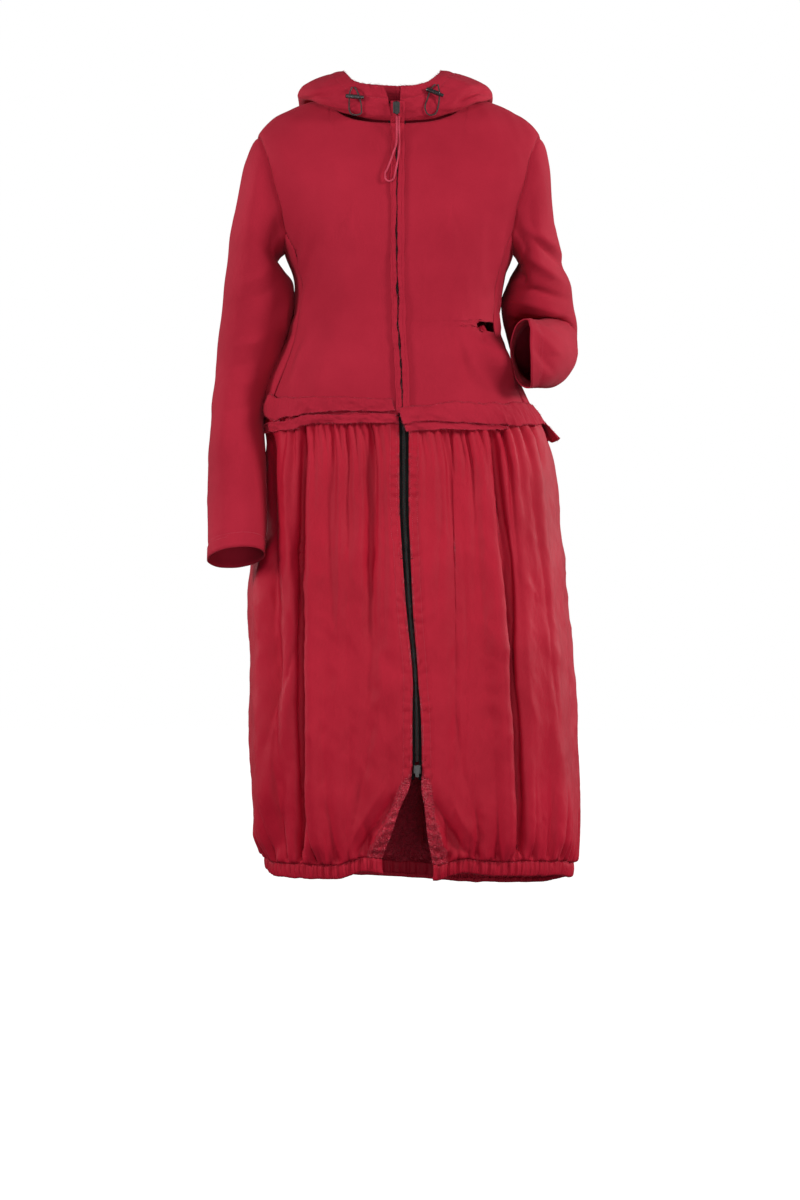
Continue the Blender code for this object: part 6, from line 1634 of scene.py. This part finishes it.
# stitches and loose threads
stitching = {
    "pitch": 0.0031, "long": 0.0023, "wide": 0.00055, "high": 0.0004,
    "cuff": (0.0190, 0.0225),  # distances of the rows of stitches from the cuff's edge
    "band": (0.0035, 0.0125),  # and from the edge beside the zip and the slit
}
threads = {  # how many loose threads, and the longest
    "strip": (260, 0.0032), "stripBack": (150, 0.0022), "rim": (330, 0.0028), "waistEnd": (46, 0.0030),
    "waistLong": 0.0026, "waistPerMetre": 900, "wide": 0.00032,
}
stitchShape = np.array([(-0.5, 0, 0), (0, -0.5, 0), (0, 0, 1), (0, 0.5, 0), (0, 0, -0.6), (0.5, 0, 0)])
stitchFaces = np.array([(0, 1, 2), (0, 2, 3), (0, 3, 4), (0, 4, 1), (5, 2, 1), (5, 3, 2), (5, 4, 3), (5, 1, 4)])
stitchParts, threadParts = [], []


# a row of stitches along a line of points on the cloth: flat eight-faced beads laid end to end with gaps
def stitchRow(line, away, scale=1.0):
    length = lengthsAlong(line)
    at = np.arange(stitching["pitch"] / 2, length[-1], stitching["pitch"] * scale)
    spot = pointsAt(at, length, line)
    out = unit(pointsAt(at, length, away))
    along = unit(pointsAt(at + 1e-4, length, line) - spot + 1e-9)
    beside = np.cross(out, along)
    shape = stitchShape * (stitching["long"] * scale, stitching["wide"], stitching["high"])
    stitchParts.append(copies(shape, stitchFaces, spot, along, beside, out))


# loose threads along a raw edge: thin three-sided hairs, each bending away from the edge by its own amount
def looseThreads(line, outwardDir, away, count, longest, seed):
    length = lengthsAlong(line)
    rng = np.random.default_rng(seed)
    at = rng.uniform(0, length[-1], count)
    root = pointsAt(at, length, line)
    out, up = unit(pointsAt(at, length, outwardDir)), unit(pointsAt(at, length, away))
    along = unit(pointsAt(at, length, np.gradient(line, axis=0)))
    size = (longest * rng.uniform(0.3, 1.0, count) ** 1.5)[:, None]
    lean = rng.normal(0, 0.8, (count, 1)) * along + rng.normal(0.15, 0.35, (count, 1)) * up
    bend = rng.normal(0, 0.9, (count, 1)) * along + rng.normal(-0.1, 0.5, (count, 1)) * up
    t = np.linspace(0, 1, 3)[None, :, None]
    spine = root[:, None] - 0.0006 * out[:, None] + size[:, None] * (t * (out + lean)[:, None] + t**2 * bend[:, None])
    radius = threads["wide"] / 2 * (1 - 0.55 * t)
    ring = np.array([0, 2.094, 4.189])
    circle = np.cos(ring)[None, None, :, None] * along[:, None, None]
    circle = circle + np.sin(ring)[None, None, :, None] * up[:, None, None]
    points = (spine[:, :, None] + radius[:, :, None] * circle).reshape(-1, 3)
    r = np.arange(2)[:, None]
    c = np.arange(3)[None, :]
    one = np.stack([r * 3 + c, r * 3 + (c + 1) % 3, r * 3 + 3 + (c + 1) % 3, r * 3 + 3 + c], axis=-1).reshape(-1, 4)
    faces = (one[None] + (np.arange(count) * 9)[:, None, None]).reshape(-1, 4)
    threadParts.append((points, faces))



# a grid's row or column that lies nearest to a distance from one of its edges, raised to lie on the cloth
def lineAt(points, away, axis, distance, last=False, lift=0.0001):
    d = edgeDistance(points, axis, last)
    k = np.argmin(np.abs(d - distance), axis=axis)
    if axis == 1:
        pick = (np.arange(points.shape[0]), k)
    else:
        pick = (k, np.arange(points.shape[1]))
    return points[pick] + lift * away[pick], away[pick]


for side in (-1, 1):
    points, away = placketPoints[side]
    stitchRow(*lineAt(points, away, 1, opening["stripStitch"]))
    outer = np.tile([-side * 1.0, -0.3, 0], (len(points), 1))
    inner = np.tile([side * 1.0, -0.5, 0], (len(points), 1))
    looseThreads(points[:, 0], outer, away[:, 0], *threads["strip"], 5 + side)
    looseThreads(points[:, -1], inner, away[:, -1], *threads["stripBack"], 8 + side)
    points, away = hoodPoints[side]
    stitchRow(*lineAt(points, away, 0, hoodPiece["channel"], last=True))
    looseThreads(points[-1], points[-1] - points[-3], away[-1], *threads["rim"], 12 + side)
    points, away = sleevePoints[side]
    ringed = np.concatenate([points, points[:, :1]], axis=1), np.concatenate([away, away[:, :1]], axis=1)
    for distance in stitching["cuff"]:
        stitchRow(*lineAt(*ringed, 0, distance, last=True))
    for distance in stitching["band"]:
        stitchRow(*lineAt(*skirtPoints[side], 1, distance))
for points, away in hemPoints:
    stitchRow(points[2] + 0.0003 * away[2], away[2])
for points, flat in waistEdges:
    seed = len(points[0])
    for k, inner in ((0, 1), (-1, -2)):  # the two raw edges, then the two ends
        count = int(threads["waistPerMetre"] * np.ptp(points[0, :, 0])) + 60
        looseThreads(points[k], points[k] - points[inner], flat[k], count, threads["waistLong"], seed - k)
    for k, inner in ((0, 1), (-1, -2)):
        ends = points[:, k], points[:, k] - points[:, inner], flat[:, k]
        looseThreads(*ends, *threads["waistEnd"], seed + 2 - k)
onGarment(meshObject("stitches", *joined(stitchParts), paintedHighlightThreadFinish))
onGarment(meshObject("looseThreads", *joined(threadParts), paintedHighlightThreadFinish))
print("stitches and threads made")

# floor and light
studio = {
    "floorZ": -1.48,
    "ambient": 0.13,  # light from all round, while the backdrop itself stays white
    "backdrop": 1.0,
    "lamps": [
        # place, aim, size, watts
        ((3.5, -1.9, 1.1), (0, 0, -0.60), 0.9, 116),
        ((-3.5, -1.7, 0.7), (0, 0, -0.60), 0.9, 88),
        ((-0.8, -4.0, 2.0), (0, 0, -0.5), 0.9, 46),
        ((0.4, -3.6, -1.15), (0, 0, -0.95), 1.0, 44),
        ((-2.9, 1.5, 0.2), (0, 0, -0.5), 1.2, 34),
        ((2.9, 1.5, 0.2), (0, 0, -0.5), 1.2, 60),
    ],
}
scene.view_settings.view_transform = "Standard"
world = bpy.data.worlds.new("studio")
scene.world = world
world.use_nodes = True
worldNodes, worldLinks = world.node_tree.nodes, world.node_tree.links
worldNodes["Background"].inputs["Color"].default_value = (1, 1, 1, 1)
seen = worldNodes.new("ShaderNodeLightPath")
strength = worldNodes.new("ShaderNodeMapRange")
strength.inputs["To Min"].default_value = studio["ambient"]
strength.inputs["To Max"].default_value = studio["backdrop"]
worldLinks.new(seen.outputs["Is Camera Ray"], strength.inputs["Value"])
worldLinks.new(strength.outputs["Result"], worldNodes["Background"].inputs["Strength"])
floorLook = bpy.data.materials.new("paleFloor")
floorLook.use_nodes = True
floorShader = floorLook.node_tree.nodes["Principled BSDF"]
floorShader.inputs["Base Color"].default_value = (0.93, 0.93, 0.93, 1)
floorShader.inputs["Roughness"].default_value = 0.8
floorShader.inputs["Emission Color"].default_value = (1, 1, 1, 1)
floorShader.inputs["Emission Strength"].default_value = 0.98
corners = np.array([(-30, -30, 0), (30, -30, 0), (30, 30, 0), (-30, 30, 0)], float) + (0, 0, studio["floorZ"])
floorPlane = meshObject("floor", corners, np.array([(0, 1, 2, 3)]), floorLook)
floorPlane.visible_diffuse = False  # only the backdrop, so it throws no light up at the cloth
floorPlane.visible_glossy = False
for number, (place, aim, size, watts) in enumerate(studio["lamps"]):
    lampData = bpy.data.lights.new("lamp" + str(number), "AREA")
    lampData.size = size
    lampData.energy = watts
    lamp = bpy.data.objects.new("lamp" + str(number), lampData)
    scene.collection.objects.link(lamp)
    lamp.location = place
    to = np.array(aim, float) - np.array(place)
    lamp.rotation_euler = (np.arccos(-to[2] / np.linalg.norm(to)), 0, np.arctan2(-to[0], to[1]))
print("studio made")
